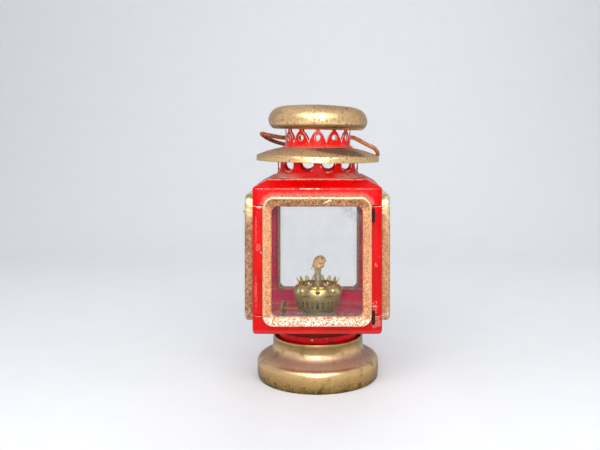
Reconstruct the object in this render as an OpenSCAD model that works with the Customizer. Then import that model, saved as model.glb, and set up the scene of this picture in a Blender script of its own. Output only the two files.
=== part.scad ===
// Square oil lamp for a wagon: a brass fount with a flat-topped burner stands in the neck of a
// red sheet-metal lantern, which has three fixed windows, a hinged glazed door, a pierced
// chimney with a brass shade and cap, and a wire bail. +Z is up, the front faces -Y, and the
// origin is the middle of the fount's resting face.

/* [Fount] */
// Largest radius of the fount's side wall
fount_r = 60; // [50:0.5:75]
// Height of the rim of the fount's neck above the resting face
fount_h = 41.5; // [39:0.5:60]
// Height at which the side wall turns over into the crest
fount_side = 15.3; // [10:0.1:17]
// Radius of the crest between side wall and shoulder
crest_r = 6; // [3:0.5:9]
// Outside radius of the neck
neck_r = 44.5; // [44:0.25:48]
// Radius of the bead along the neck's rim
rim_bead_r = 0.95; // [0.6:0.05:1.3]
// Sheet thickness of the spun brass parts
brass_t = 0.8; // [0.5:0.1:1.2]
// How far the fount's foot draws in below the side wall
foot_draw = 1.6; // [0.5:0.1:3]
// Height of the drawn-in foot
foot_h = 7.5; // [3:0.5:9]
// Height of the base plate's upturned edge
base_flange = 3; // [1.5:0.5:6]

/* [Burner] */
// Height of the burner's seat above the rim of the neck
seat_rise = 18.5; // [16:0.5:25]
// Outside radius of the screw collar under the burner
screw_r = 16; // [14:0.25:18]
// Height of the screw collar
screw_h = 3.8; // [2.5:0.1:5]
// Height of the burner's base above the seat
base_h = 7.8; // [6.5:0.1:10]
// Height of the slotted basket
basket_h = 15; // [11:0.5:20]
// Radius at the top of the basket
basket_r = 24; // [21:0.25:28]
// Number of slots round the basket
basket_slots = 28; // [16:1:32]
// Width of one slot
slot_w = 2.1; // [1.2:0.1:2.4]
// Length of one slot
slot_h = 7.4; // [4:0.1:9]
// Radius of the gallery's upper edge
gallery_r = 20; // [18:0.25:22]
// Height of the gallery wall
gallery_h = 7.8; // [6:0.1:10]
// Number of prongs
prongs = 16; // [8:1:20]
// Height of one prong
prong_h = 4.9; // [3:0.1:7]
// Outward lean of the prongs' tips
prong_lean = 2; // [0:0.1:3]
// Sheet thickness of the burner
burner_t = 0.6; // [0.4:0.05:0.9]
// Outside radius of the wick tube
tube_r = 3.15; // [2.8:0.05:4]
// Height of the wick tube above the gallery's upper edge
tube_rise = 10.3; // [6:0.1:16]
// Radius of the wick
wick_r = 2.5; // [1.8:0.05:2.6]
// Height of the burnt wick's head
wick_head_h = 12.5; // [6:0.5:16]
// Radius of the burnt wick's head
wick_head_r = 6.4; // [4:0.1:8]

/* [Wick drive] */
// Radius of the spindle
spindle_r = 0.85; // [0.6:0.05:1.1]
// Clearance round the spindle in its holes
spindle_clear = 0.08; // [0.03:0.01:0.1]
// Distance from the burner's middle to the knob
knob_out = 33; // [28:0.1:34]
// Radius of the knob
knob_r = 7.5; // [5:0.25:8]
// Thickness of the knob
knob_t = 2; // [1.2:0.1:3]
// Angle by which the spindle points to the rear
spindle_yaw = 12; // [0:1:15]
// Tip radius of the toothed wheel
wheel_r = 3.6; // [3:0.1:4.2]
// Teeth on the wheel
wheel_teeth = 9; // [7:1:12]

/* [Lantern body] */
// Outside width of the square body
body_w = 120; // [118:0.5:150]
// Radius of the body's upright corners
corner_r = 5.5; // [4:0.5:7]
// Sheet thickness of the body
sheet_t = 0.8; // [0.6:0.1:1.2]
// Width of a corner post on each wall
post_w = 15; // [12:0.5:17]
// Height of the corner posts between the two pressings
post_h = 101; // [90:0.5:140]
// How far the neck collar reaches down into the fount
collar_in = 7; // [4:0.25:9]
// Height of neck collar that shows above the fount
collar_show = 6.2; // [4:0.1:12]
// Outside radius of the neck collar
collar_r = 40; // [39:0.25:41]
// Depth of the dish in the lower pressing
dish_h = 7.6; // [5:0.1:14]
// Radius of the dish's rim
dish_r = 53.5; // [48:0.5:54]
// Height of the lower pressing's side wall
pan_wall = 18.2; // [14:0.1:24]
// Radius of the lower pressing's bottom edge
pan_edge_r = 5; // [3:0.25:6]
// Depth to which both pressings' walls are cut away behind the windows
sill_drop = 2.3; // [1:0.1:4]
// Height of the upper pressing's side wall
top_wall = 16; // [13:0.1:24]
// Rise of the sloping roof
roof_rise = 7.4; // [5:0.1:12]
// How far the roof slopes inwards
roof_in = 13.9; // [8:0.1:14.2]
// Radius along the eaves
eave_r = 3; // [1:0.25:4]
// Length of the joggled lap inside the posts
lap_h = 4; // [2:0.5:6]

/* [Windows] */
// Width of the window opening inside the frame
open_w = 83; // [70:0.5:100]
// Height of the window opening inside the frame
open_h = 100; // [90:0.5:140]
// Corner radius of the window opening
open_r = 5.5; // [4:0.25:7]
// Width of the frame's upright sides
frame_w = 8.3; // [8:0.1:11]
// Width of the frame's upper and lower sides
rail_w = 9.4; // [8:0.1:11]
// Corner radius of the frame's outline
frame_out_r = 10; // [8:0.25:12]
// Depth of the frame in front of the wall
frame_d = 8; // [6.5:0.1:10]
// Radius along the frame's outer edge
frame_edge_r = 3; // [1.5:0.1:4]
// Radius along the frame's inner edge
frame_lip_r = 1.8; // [1:0.1:2]
// Thickness of the glass
glass_t = 2; // [1.5:0.1:2.4]
// Distance from the wall to the back of the glass
glass_back = 2.4; // [1.5:0.1:2.6]
// Width of the ring that holds the glass
ring_w = 1.65; // [1:0.05:2.4]

/* [Door hinge and catch] */
// Radius of the hinge barrels
barrel_r = 1.5; // [1.2:0.05:1.8]
// Radius of the hinge pins
pin_r = 0.7; // [0.5:0.05:0.8]
// Clearance round the pins in the door's barrels
pin_clear = 0.05; // [0.03:0.01:0.1]
// Length of one hinge, all barrels together
hinge_len = 12; // [9:0.5:16]
// Height of the lower hinge's middle above the lower seam
hinge_low = -1.5; // [-3:0.5:3]
// Drop of the upper hinge's middle below the upper seam
hinge_drop = 9; // [6:0.5:20]
// Gap between the closed door and the body
door_gap = 0.3; // [0.2:0.05:0.6]
// Height of the catch above the lower seam
catch_up = 58; // [20:0.5:80]

/* [Chimney] */
// Outside radius of the vent collar
vent_r = 40; // [36:0.25:40.5]
// Height of the vent collar up to the shade
vent_h = 26.8; // [24:0.1:34]
// How far the vent collar's foot flares out
foot_flare = 5; // [2:0.1:5.5]
// Number of holes round the vent collar
vent_holes = 12; // [8:1:14]
// Radius of one vent hole
vent_hole_r = 6.85; // [4:0.05:7.2]
// Height of the vent holes' middle above the roof
vent_hole_up = 12.9; // [12.5:0.1:14.5]
// Radius of the shade
shade_r = 61; // [52:0.5:75]
// Height of the shade's upright rim
shade_rim = 5.5; // [3:0.1:8]
// Rise of the shade from its rim to the crown collar
shade_rise = 8.3; // [5:0.1:14]
// Outside radius of the crown collar
crown_r = 32.5; // [28:0.25:34]
// Height of the crown collar
crown_h = 22; // [20:0.1:28]
// Number of petals round the crown collar
petals = 12; // [8:1:14]
// Height of the notches' roots above the crown collar's foot
notch_up = 6.6; // [5:0.1:8]
// Height of the petals' arches above the notches' roots
arch_h = 9.9; // [8:0.1:11]
// Radius of the round hole in each petal
petal_hole_r = 2.5; // [2.3:0.05:3]
// Height of the petal holes above the crown collar's foot
petal_hole_up = 9.4; // [8.5:0.1:12]
// Largest radius of the cap
cap_r = 49.4; // [44:0.1:56]
// Radius of the cap's edge below its widest line
cap_edge_r = 9.5; // [8:0.1:12]
// Radius of the cap's shoulder above its widest line
cap_shoulder_r = 13; // [10:0.5:18]
// Radius where the shoulder runs into the dome
cap_turn_r = 24; // [20:0.5:32]
// How far the cap's rim hangs below the crown collar's top
cap_hang = 4.4; // [3:0.1:6]

/* [Bail] */
// Radius of the bail's wire
wire_r = 2.1; // [1.4:0.05:2.3]

/* [Hidden] */
$fn = 72;
fit = 0.3;            // air between a moving part and what it rests on

// ---- heights, from the resting face upwards ----
trough_z = fount_h - collar_in - fit;
collar_z = fount_h - collar_in;
dish_z = fount_h + collar_show;
pan_z = dish_z + dish_h;
seam_low = pan_z + pan_wall;
seam_high = seam_low + post_h;
eave_z = seam_high + top_wall;
roof_z = eave_z + roof_rise;
shade_top_z = roof_z + vent_h + brass_t / cos(shade_pitch(vent_r)) + shade_rise * shade_fall(vent_r);
shade_eave_z = shade_top_z - shade_rise;
shade_rim_z = shade_eave_z - shade_rim;
crown_z = shade_top_z;
crown_top = crown_z + crown_h;
axle_z = crown_z + petal_hole_up;
window_z = (seam_low + seam_high) / 2;

// ---- burner heights ----
seat_z = fount_h + seat_rise;
screw_top = seat_z + screw_h;
basket_z = seat_z + base_h;
gallery_z = basket_z + basket_h;
gallery_top = gallery_z + gallery_h;
tube_top = gallery_top + tube_rise;
spindle_z = screw_top + spindle_r + 0.8;

// ---- plan sizes ----
half = body_w / 2;
sleeve_r = collar_r - sheet_t - 0.35;
base_r = screw_r - 1.6;
tube_in_r = wick_r + 0.2;
frame_out_w = open_w + 2 * frame_w;
frame_out_h = open_h + 2 * rail_w;
glass_inset = brass_t + 0.6;
lip_v = glass_back + glass_t;
hinge_x = frame_out_w / 2 + barrel_r + 0.15;
hinge_y = -(half + barrel_r + 0.35);
upper_hinge_z = seam_high - hinge_drop;
lower_hinge_z = seam_low + hinge_low;
drive_off = wick_r + wheel_r + 0.15;
drive_dir = [cos(spindle_yaw), -sin(spindle_yaw), 0];
wheel_w = 2.4;

// ================= sheet-metal helpers =================

// Points along an arc, both ends included.
function arc(cx, cy, r, a0, a1, n = 5) =
    [for (i = [0:n]) let (a = a0 + (a1 - a0) * i / n) [cx + r * cos(a), cy + r * sin(a)]];

function unit(v) = v / norm(v);
function left_of(v) = [-v.y, v.x];

// Mitred side direction at point i of a path.
function side_at(p, i) =
    let (last = len(p) - 1,
         a = left_of(unit(i > 0 ? p[i] - p[i - 1] : p[1] - p[0])),
         b = i < last ? left_of(unit(p[i + 1] - p[i])) : a)
    (a + b) / (1 + a * b);

// Closed outline of a sheet of thickness t that lies to the left of a path.
function sheet(p, t) = concat(p, [for (i = [len(p) - 1:-1:0]) p[i] + t * side_at(p, i)]);

// A spun shell: the path is its outer surface, read upwards or inwards.
module spun(p, t) {
    rotate_extrude($fn = 120) polygon(sheet(p, t));
}

// Square with rounded corners.
module round_square(w, h, r) {
    square([w, h - 2 * r], center = true);
    square([w - 2 * r, h], center = true);
    for (sx = [-1, 1], sy = [-1, 1])
        translate([sx * (w / 2 - r), sy * (h / 2 - r)]) circle(r);
}

// A drawn square pressing: the same outline across both ways, with rounded upright corners.
module pressing(outline, w, r, z0, z1) {
    intersection() {
        rotate([90, 0, 0]) linear_extrude(w + 2, center = true) polygon(outline);
        rotate([90, 0, 90]) linear_extrude(w + 2, center = true) polygon(outline);
        translate([0, 0, z0 - 1]) linear_extrude(z1 - z0 + 2) round_square(w, w, r);
    }
}

// Mirror image of the right half of an outline, so that it closes.
function both_sides(p) = concat(p, [for (i = [len(p) - 1:-1:0]) [-p[i].x, p[i].y]]);

// Runs a profile round a rounded opening. In the profile, x is the distance outwards from the
// opening's edge and y the distance in front of the wall.
module run_round(w, h, r) {
    for (k = [0, 1]) rotate(180 * k) {
        translate([w / 2, 0]) rotate([90, 0, 0]) linear_extrude(h - 2 * r, center = true) children();
        translate([w / 2 - r, h / 2 - r]) rotate_extrude(angle = 90) translate([r, 0]) children();
        rotate(90) {
            translate([h / 2, 0]) rotate([90, 0, 0])
                linear_extrude(w - 2 * r, center = true) children();
            translate([h / 2 - r, w / 2 - r]) rotate_extrude(angle = 90) translate([r, 0]) children();
        }
    }
}

// Puts what is drawn in a wall's own plane onto that wall; turn 0 is the front.
module on_wall(turn) {
    rotate(turn) translate([0, -half, window_z]) rotate([90, 0, 0]) children();
}

// ================= fount =================

// Crest and cove share one slope: the shoulder is a straight run between the two arcs.
shoulder_slope = 30;
crest_x = fount_r - crest_r + crest_r * cos(90 - shoulder_slope);
crest_z = fount_side + crest_r * sin(90 - shoulder_slope);
cove = (crest_x - neck_r) / (cos(shoulder_slope) + sin(shoulder_slope));
cove_x = crest_x - cove * cos(shoulder_slope);
cove_z = crest_z + cove * sin(shoulder_slope);

fount_path = concat(
    [[fount_r - foot_draw, 0], [fount_r - foot_draw * 0.5, 0.9], [fount_r, foot_h]],
    arc(fount_r - crest_r, fount_side, crest_r, 0, 90 - shoulder_slope),
    arc(cove_x + cove * sin(shoulder_slope), cove_z + cove * cos(shoulder_slope), cove,
        270 - shoulder_slope, 180),
    [[neck_r, fount_h - rim_bead_r]]
);

module fount_shell() {
    color("#c8a060") {
        spun(fount_path, brass_t);
        rotate_extrude($fn = 120)
            translate([neck_r - rim_bead_r, fount_h - rim_bead_r]) circle(rim_bead_r, $fn = 24);
    }
}

module fount_base() {
    r = fount_r - foot_draw - brass_t;
    color("#a88850") difference() {
        cylinder(r = r, h = base_flange);
        translate([0, 0, brass_t]) cylinder(r = r - brass_t, h = base_flange);
    }
}

dome_corner = 3;
dome_path = concat(
    [[neck_r - brass_t, trough_z], [sleeve_r, trough_z]],
    arc(sleeve_r - dome_corner, dish_z - dome_corner, dome_corner, 0, 58, 4),
    [[screw_r + 1.5, seat_z], [base_r + 0.1, seat_z]]
);

module fount_dome() {
    color("#b08c50") spun(dome_path, brass_t);
}

// ================= burner =================

module screw_collar() {
    color("#b89858") translate([0, 0, seat_z]) difference() {
        union() {
            cylinder(r = screw_r, h = screw_h);
            cylinder(r = screw_r + 1, h = 1);
            translate([0, 0, screw_h - 0.9]) cylinder(r = screw_r + 0.5, h = 0.9);
        }
        translate([0, 0, -1]) cylinder(r = base_r, h = screw_h + 2);
    }
}

// Lays a part drawn along +X onto the spindle's axis, measured from the wick.
module on_spindle() {
    translate([-drive_off * sin(spindle_yaw), -drive_off * cos(spindle_yaw), spindle_z])
        rotate(-spindle_yaw) children();
}

module spindle_hole() {
    on_spindle() rotate([0, 90, 0])
        cylinder(r = spindle_r + spindle_clear, h = 3 * base_r, center = true, $fn = 24);
}

module burner_base() {
    top_t = 0.8;
    color("#b09050") difference() {
        translate([0, 0, seat_z]) union() {
            difference() {
                cylinder(r = base_r, h = base_h);
                translate([0, 0, -1]) cylinder(r = base_r - 0.8, h = base_h + 1 - top_t);
            }
            translate([0, 0, base_h - top_t]) cylinder(r = base_r, h = top_t);
        }
        translate([0, 0, seat_z]) cylinder(r = tube_r, h = base_h + 1);
        spindle_hole();
        wheel_window();
    }
}

seam_out = 0.5;       // how far the seam between basket and gallery stands out

basket_bulge = 26;
basket_path = concat(
    [[base_r - 2, basket_z], [base_r + 1.4, basket_z]],
    arc(basket_r - basket_bulge, basket_z + basket_h - 2, basket_bulge,
        -asin((basket_h - 2.2) / basket_bulge), -3, 5),
    [[basket_r, gallery_z - 1.2], [basket_r + seam_out, gallery_z - 0.6],
     [basket_r + seam_out, gallery_z]]
);

// A slot that runs up the basket's wall, cut square to the lamp's axis.
module basket_slot() {
    z0 = basket_z + 1.6 + slot_w / 2;
    x0 = base_r - 0.5;
    for (z = [z0, z0 + slot_h - slot_w])
        translate([x0, 0, z]) rotate([0, 90, 0]) cylinder(d = slot_w, h = basket_r, $fn = 16);
    translate([x0, -slot_w / 2, z0]) cube([basket_r, slot_w, slot_h - slot_w]);
}

module burner_basket() {
    color("#b89a58") difference() {
        spun(basket_path, burner_t);
        for (i = [0:basket_slots - 1]) rotate(360 * i / basket_slots) basket_slot();
    }
}

gallery_path = concat(
    [[basket_r + seam_out, gallery_z], [basket_r + seam_out, gallery_z + 0.6],
     [basket_r, gallery_z + 1.2]],
    arc(basket_r - 7.5, gallery_z + 1, 7.5, 12, 58, 4),
    [[gallery_r, gallery_top]]
);
prong_path = [[gallery_r, gallery_top - 0.3], [gallery_r + prong_lean, gallery_top + prong_h]];

// One prong's face, drawn upright across the radius.
module prong_face() {
    w = 2 * PI * gallery_r / prongs;
    translate([gallery_r - 4, 0, 0]) rotate([90, 0, 90]) linear_extrude(prong_lean + 8)
        polygon([[-0.36 * w, gallery_top - 1], [0.36 * w, gallery_top - 1],
                 [0.34 * w, gallery_top + 0.25 * prong_h], [0.07 * w, gallery_top + prong_h],
                 [-0.07 * w, gallery_top + prong_h], [-0.34 * w, gallery_top + 0.25 * prong_h]]);
}

// Round hole with a slit that runs up and out of the gallery's edge.
module keyhole(hole_r, slit_w) {
    z = gallery_z + 3.6;
    x0 = gallery_r - 4;
    translate([x0, 0, z]) rotate([0, 90, 0]) cylinder(r = hole_r, h = 12, $fn = 20);
    translate([x0, -slit_w / 2, z]) cube([12, slit_w, gallery_h + prong_h]);
}

module eyelet() {
    translate([gallery_r - 4, 0, gallery_z + 3.4]) {
        for (dz = [-1.2, 1.2]) translate([0, 0, dz]) rotate([0, 90, 0])
            cylinder(r = 0.9, h = 12, $fn = 16);
        translate([0, -0.9, -1.2]) cube([12, 1.8, 2.4]);
    }
}

module burner_gallery() {
    color("#c0a460") difference() {
        union() {
            spun(gallery_path, burner_t);
            intersection() {
                spun(prong_path, burner_t);
                for (i = [0:prongs - 1]) rotate(-90 + 360 * (i + 0.5) / prongs) prong_face();
            }
        }
        for (q = [0:90:270]) rotate(q - 90) {
            keyhole(2.35, 0.9);
            for (a = [-25, 25]) rotate(a) eyelet();
        }
    }
}

cone_path = concat(
    [[basket_r + seam_out - burner_t, gallery_z + 0.3], [gallery_r - 1.2, gallery_z + 1.2]],
    arc(0.3 * gallery_r, gallery_top - 10.6, 10, 30, 84, 4),
    [[tube_r, gallery_top - 0.6]]
);

module burner_cone() {
    color("#8c7a48") spun(cone_path, burner_t);
}

module wheel_window() {
    translate([-drive_off * sin(spindle_yaw), -drive_off * cos(spindle_yaw), spindle_z])
        rotate(-spindle_yaw)
            cube([wheel_w + 0.6, 2 * wheel_r + 1, 2 * wheel_r + 1], center = true);
}

module wick_tube() {
    color("#b8b0a0") difference() {
        translate([0, 0, seat_z - 4]) cylinder(r = tube_r, h = tube_top - seat_z + 4);
        translate([0, 0, seat_z - 5]) cylinder(r = tube_in_r, h = tube_top - seat_z + 6);
        wheel_window();
    }
}

// ================= wick and its drive =================

wick_foot_z = base_flange + 4;
shoulder_up = 1;

wick_outline = concat(
    [[0, wick_foot_z], [wick_r, wick_foot_z], [wick_r, tube_top + fit],
     [tube_r, tube_top + fit + 0.5], [tube_r, tube_top + shoulder_up + 3.4]],
    arc(0, tube_top + shoulder_up + 4 + wick_head_h * 0.5, wick_head_r, -52, 20, 5),
    arc(0, tube_top + shoulder_up + 4 + wick_head_h * 0.5, wick_head_r, 34, 90, 4)
);

module wick() {
    color("#e8d8b0") rotate_extrude($fn = 48) polygon(wick_outline);
}

module wick_spindle() {
    color("#b0a070") on_spindle() translate([-knob_out - knob_t - 0.8, 0, 0]) rotate([0, 90, 0])
        cylinder(r = spindle_r, h = knob_out + knob_t + 0.8 + base_r - 1, $fn = 24);
}

module wick_wheel() {
    color("#a89868") on_spindle() rotate([0, 90, 0]) difference() {
        union() {
            cylinder(r = wheel_r - 1.1, h = wheel_w, center = true, $fn = 36);
            for (i = [0:wheel_teeth - 1]) rotate(360 * i / wheel_teeth)
                linear_extrude(wheel_w - 0.6, center = true)
                    polygon([[0, -0.75], [wheel_r - 1, -0.75], [wheel_r, -0.2],
                             [wheel_r, 0.2], [wheel_r - 1, 0.75], [0, 0.75]]);
        }
        cylinder(r = spindle_r, h = wheel_w + 1, center = true, $fn = 24);
    }
}

knob_grooves = 30;

module wick_knob() {
    color("#a89060") on_spindle() translate([-knob_out - knob_t, 0, 0]) rotate([0, 90, 0])
        difference() {
            union() {
                cylinder(r = knob_r, h = knob_t);
                translate([0, 0, knob_t]) cylinder(r = 2, h = 1.4, $fn = 30);
            }
            translate([0, 0, -1]) cylinder(r = spindle_r, h = knob_t + 4, $fn = 24);
            translate([0, 0, -0.01]) cylinder(r = knob_r - 1.6, h = 0.5);
            for (i = [0:knob_grooves - 1]) rotate(360 * i / knob_grooves)
                translate([knob_r + 0.25, 0, -1]) cylinder(r = 0.5, h = knob_t + 2, $fn = 14);
        }
}

// ================= lantern body =================

module neck_collar() {
    color("#d01818") difference() {
        translate([0, 0, collar_z]) cylinder(r = collar_r, h = dish_z - collar_z + 2.2);
        translate([0, 0, collar_z - 1]) cylinder(r = collar_r - sheet_t, h = dish_z - collar_z + 5);
    }
}

// Outline of the lower pressing's tray, grown or shrunk by the sheet.
function tray_outline(w, z0, z1, r) =
    both_sides(concat([[0, z0]], arc(w / 2 - r, z0 + r, r, -90, 0), [[w / 2, z1]]));

// Joggled laps inside the four posts.
module laps(z0, z1) {
    translate([0, 0, z0]) linear_extrude(z1 - z0) difference() {
        round_square(body_w - 2 * sheet_t, body_w - 2 * sheet_t, corner_r - sheet_t);
        round_square(body_w - 4 * sheet_t, body_w - 4 * sheet_t, corner_r - 2 * sheet_t);
        square([body_w - 2 * post_w, body_w], center = true);
        square([body_w, body_w - 2 * post_w], center = true);
    }
}

// What is cut from a pressing's walls between the posts, behind the windows.
module wall_cut(z0, z1) {
    for (a = [0, 90]) rotate(a) translate([0, 0, z0])
        linear_extrude(z1 - z0) square([body_w - 2 * post_w, body_w + 2], center = true);
}

module lower_pressing() {
    inner_w = body_w - 2 * sheet_t;
    dish = [[dish_r + sheet_t, pan_z], [dish_r, pan_z], [collar_r + 1.2, dish_z],
            [collar_r, dish_z], [collar_r, dish_z + 2.2]];
    color("#d81414") {
        difference() {
            pressing(tray_outline(body_w, pan_z, seam_low, pan_edge_r), body_w, corner_r,
                     pan_z, seam_low);
            pressing(tray_outline(inner_w, pan_z + sheet_t, seam_low + 1, pan_edge_r - sheet_t),
                     inner_w, corner_r - sheet_t, pan_z, seam_low + 1);
            translate([0, 0, pan_z - 1]) cylinder(r = dish_r, h = 4, $fn = 120);
            wall_cut(seam_low - sill_drop, seam_low + 1);
        }
        rotate_extrude($fn = 120) polygon(sheet(dish, -sheet_t));
        laps(seam_low - 2, seam_low + lap_h);
    }
}

// One corner post, drawn at the front left.
module corner_post() {
    z0 = seam_low + 0.2;
    z1 = seam_high - 0.2;
    end_r = 3;
    color("#d81414") difference() {
        translate([0, 0, z0]) linear_extrude(z1 - z0) intersection() {
            difference() {
                round_square(body_w, body_w, corner_r);
                round_square(body_w - 2 * sheet_t, body_w - 2 * sheet_t, corner_r - sheet_t);
            }
            translate([-half - 1, -half - 1]) square(post_w + 1);
        }
        // the post's lower corners are cut round on both flanges
        for (m = [0, 1]) mirror([m, -m, 0])
            translate([-half + post_w, -half - 1, z0]) rotate([-90, 0, 0]) difference() {
                translate([-end_r, -end_r, 0]) cube([end_r + 1, end_r + 1, 4]);
                translate([-end_r, -end_r, -1]) cylinder(r = end_r, h = 6, $fn = 24);
            }
    }
}

module post_front_left() { corner_post(); }
module post_front_right() { mirror([1, 0, 0]) corner_post(); }
module post_rear_left() { mirror([0, 1, 0]) corner_post(); }
module post_rear_right() { rotate(180) corner_post(); }

roof_slope = atan(roof_rise / roof_in);

// Right half of the upper pressing's outline, with the eaves and the roof's edge rounded.
function roof_outline(inset) =
    let (h = half - inset, r = max(eave_r - inset, 0.5), drop = r * tan((90 - roof_slope) / 2),
         top = roof_z - inset, turn = 90 - roof_slope,
         eave = eave_z - inset * tan((90 - roof_slope) / 2) - drop,
         run = (top - eave_z + inset * tan((90 - roof_slope) / 2)) / tan(roof_slope))
    both_sides(concat([[h, seam_high - (inset > 0 ? 1 : 0)]],
                      arc(h - r, eave, r, 0, turn, 4),
                      [[h - run, top], [0, top]]));

module upper_pressing() {
    color("#d81414") {
        difference() {
            pressing(roof_outline(0), body_w, corner_r, seam_high, roof_z);
            pressing(roof_outline(sheet_t), body_w - 2 * sheet_t, corner_r - sheet_t,
                     seam_high - 1, roof_z);
            translate([0, 0, roof_z - 4]) cylinder(r = vent_r - sheet_t, h = 6, $fn = 120);
            wall_cut(seam_high - 1, seam_high + sill_drop);
        }
        laps(seam_high - lap_h, seam_high + 2);
    }
}

// ================= windows and door =================

// Sections of the hollow window frame, either side of its flat face: the outer edge stands on
// the wall, and the inner edge turns down to the glass.
flat_run = 0.5;
edge_path = concat([[0, 0]], arc(-frame_edge_r, frame_d - frame_edge_r, frame_edge_r, 0, 90, 4),
                   [[-frame_edge_r - flat_run, frame_d]]);
lip_path = concat([[frame_lip_r + flat_run, frame_d]],
                  arc(frame_lip_r, frame_d - frame_lip_r, frame_lip_r, 90, 180, 3), [[0, lip_v]]);

module frame_body(gap = 0) {
    edge = frame_edge_r + flat_run;
    lip = frame_lip_r + flat_run;
    translate([0, 0, gap]) {
        run_round(frame_out_w, frame_out_h, frame_out_r) polygon(sheet(edge_path, brass_t));
        run_round(open_w, open_h, open_r) polygon(sheet(lip_path, brass_t));
        translate([0, 0, frame_d - brass_t]) linear_extrude(brass_t) difference() {
            round_square(frame_out_w - 2 * edge, frame_out_h - 2 * edge, frame_out_r - edge);
            round_square(open_w + 2 * lip, open_h + 2 * lip, open_r + lip);
        }
    }
}

module pane(gap = 0) {
    translate([0, 0, glass_back + gap]) linear_extrude(glass_t)
        round_square(frame_out_w - 2 * glass_inset, frame_out_h - 2 * glass_inset,
                     frame_out_r - glass_inset);
}

// Narrow ring behind the glass.
module glass_ring(gap = 0) {
    set_back = 0.8;
    back = 0.3;
    run_round(open_w, open_h, open_r) translate([set_back, back])
        square([ring_w, glass_back + gap - back]);
}

module solder_nub() {
    nub_up = 43.3;
    translate([frame_out_w / 2 - 4.2, nub_up, frame_d - 0.4])
        cylinder(r1 = 1.7, r2 = 0.7, h = 2, $fn = 20);
}

module frame_left() { color("#b89060") on_wall(270) { frame_body(); solder_nub(); } }
module frame_right() { color("#b89060") on_wall(90) frame_body(); }
module frame_rear() { color("#b89060") on_wall(180) frame_body(); }
module glass_left() { color("#d0dce0", 0.4) on_wall(270) pane(); }
module glass_right() { color("#d0dce0", 0.4) on_wall(90) pane(); }
module glass_rear() { color("#d0dce0", 0.4) on_wall(180) pane(); }
module ring_left() { color("#c8b088") on_wall(270) glass_ring(); }
module ring_right() { color("#c8b088") on_wall(90) glass_ring(); }
module ring_rear() { color("#c8b088") on_wall(180) glass_ring(); }

module door_frame() { color("#c88850") on_wall(0) frame_body(door_gap); }
module door_glass() { color("#d0dce0", 0.4) on_wall(0) pane(door_gap); }
module door_ring() { color("#c8b088") on_wall(0) glass_ring(door_gap); }

// Hinge barrels: the outer thirds belong to the body, the middle third to the door.
barrel_air = 0.2;
leaf_t = 1.1;
leaf_in = 2;          // how far a door leaf follows the frame's rounded corner
body_barrel = (hinge_len - 2 * barrel_air) * 0.28;
door_barrel = hinge_len - 2 * body_barrel - 2 * barrel_air;

module barrel(len, bore) {
    difference() {
        cylinder(r = barrel_r, h = len, $fn = 36);
        translate([0, 0, -1]) cylinder(r = bore, h = len + 2, $fn = 24);
    }
}

module at_hinges() {
    for (z = [lower_hinge_z, upper_hinge_z]) translate([hinge_x, hinge_y, z]) children();
}

module hinge_leaves() {
    color("#c0b8a8") at_hinges() for (s = [0, 1]) mirror([0, 0, s])
        translate([0, 0, -hinge_len / 2]) {
            barrel(body_barrel, pin_r);
            difference() {
                cube([leaf_t, -hinge_y - half, body_barrel]);
                translate([0, 0, -1]) cylinder(r = barrel_r - 0.2, h = body_barrel + 2, $fn = 36);
            }
        }
}

module hinge_pins() {
    color("#a8a090") at_hinges() translate([0, 0, -hinge_len / 2 - 0.6])
        cylinder(r = pin_r, h = hinge_len + 1.2, $fn = 24);
}

module door_barrels() {
    reach = hinge_x - frame_out_w / 2;
    color("#c0b8a8") at_hinges() translate([0, 0, -door_barrel / 2]) {
        barrel(door_barrel, pin_r + pin_clear);
    }
    color("#c0b8a8") difference() {
        at_hinges() translate([0, 0, -door_barrel / 2]) difference() {
            translate([-reach - leaf_in, -leaf_t, 0]) cube([reach + leaf_in, leaf_t, door_barrel]);
            translate([0, 0, -1]) cylinder(r = barrel_r - 0.2, h = door_barrel + 2, $fn = 36);
        }
        on_wall(0) linear_extrude(2 * frame_d) round_square(frame_out_w, frame_out_h, frame_out_r);
    }
}

// A stud with a small round head that the door's edge snaps past.
module door_catch() {
    stud_r = 0.7;
    head_r = 1.1;
    color("#d8d0c0") translate([-frame_out_w / 2 - head_r - 0.15, -half, seam_low + catch_up])
        rotate([90, 0, 0]) {
            cylinder(r = stud_r, h = 2.4, $fn = 24);
            translate([0, 0, 2.4]) sphere(r = head_r, $fn = 24);
        }
}

// ================= chimney =================

// How far the shade's surface has fallen at a radius, 0 at the crown and 1 at the rim.
function shade_out(r) = (r - crown_r) / (shade_r - crown_r);
function shade_fall(r) = 0.55 * shade_out(r) + 0.45 * shade_out(r) * shade_out(r);
function shade_pitch(r) = atan(shade_rise * (0.55 + 0.9 * shade_out(r)) / (shade_r - crown_r));

module vent_collar() {
    flare = concat([[vent_r + foot_flare + 0.4, roof_z + sheet_t]],
                   arc(vent_r + foot_flare, roof_z + sheet_t + foot_flare, foot_flare, 270, 180, 4),
                   [[vent_r, roof_z + vent_h]]);
    color("#d81414") difference() {
        spun(flare, sheet_t);
        for (i = [0:vent_holes - 1]) rotate(90 + 360 * (i + 0.5) / vent_holes)
            translate([vent_r - 5, 0, roof_z + vent_hole_up]) rotate([0, 90, 0]) rotate(40)
                cylinder(r = vent_hole_r, h = 12, $fn = 48);
    }
}

shade_hem = 1.6;
shade_path = concat(
    [[shade_r - shade_hem, shade_rim_z + 0.1], [shade_r + 0.2, shade_rim_z],
     [shade_r, shade_eave_z - 0.6]],
    [for (i = [8:-1:0]) let (r = crown_r + (shade_r - 0.5 - crown_r) * i / 8)
        [r, shade_top_z - shade_rise * shade_fall(r)]],
    [[crown_r - sheet_t, shade_top_z]]
);

module shade() {
    color("#c09868") spun(shade_path, brass_t);
}

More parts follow.
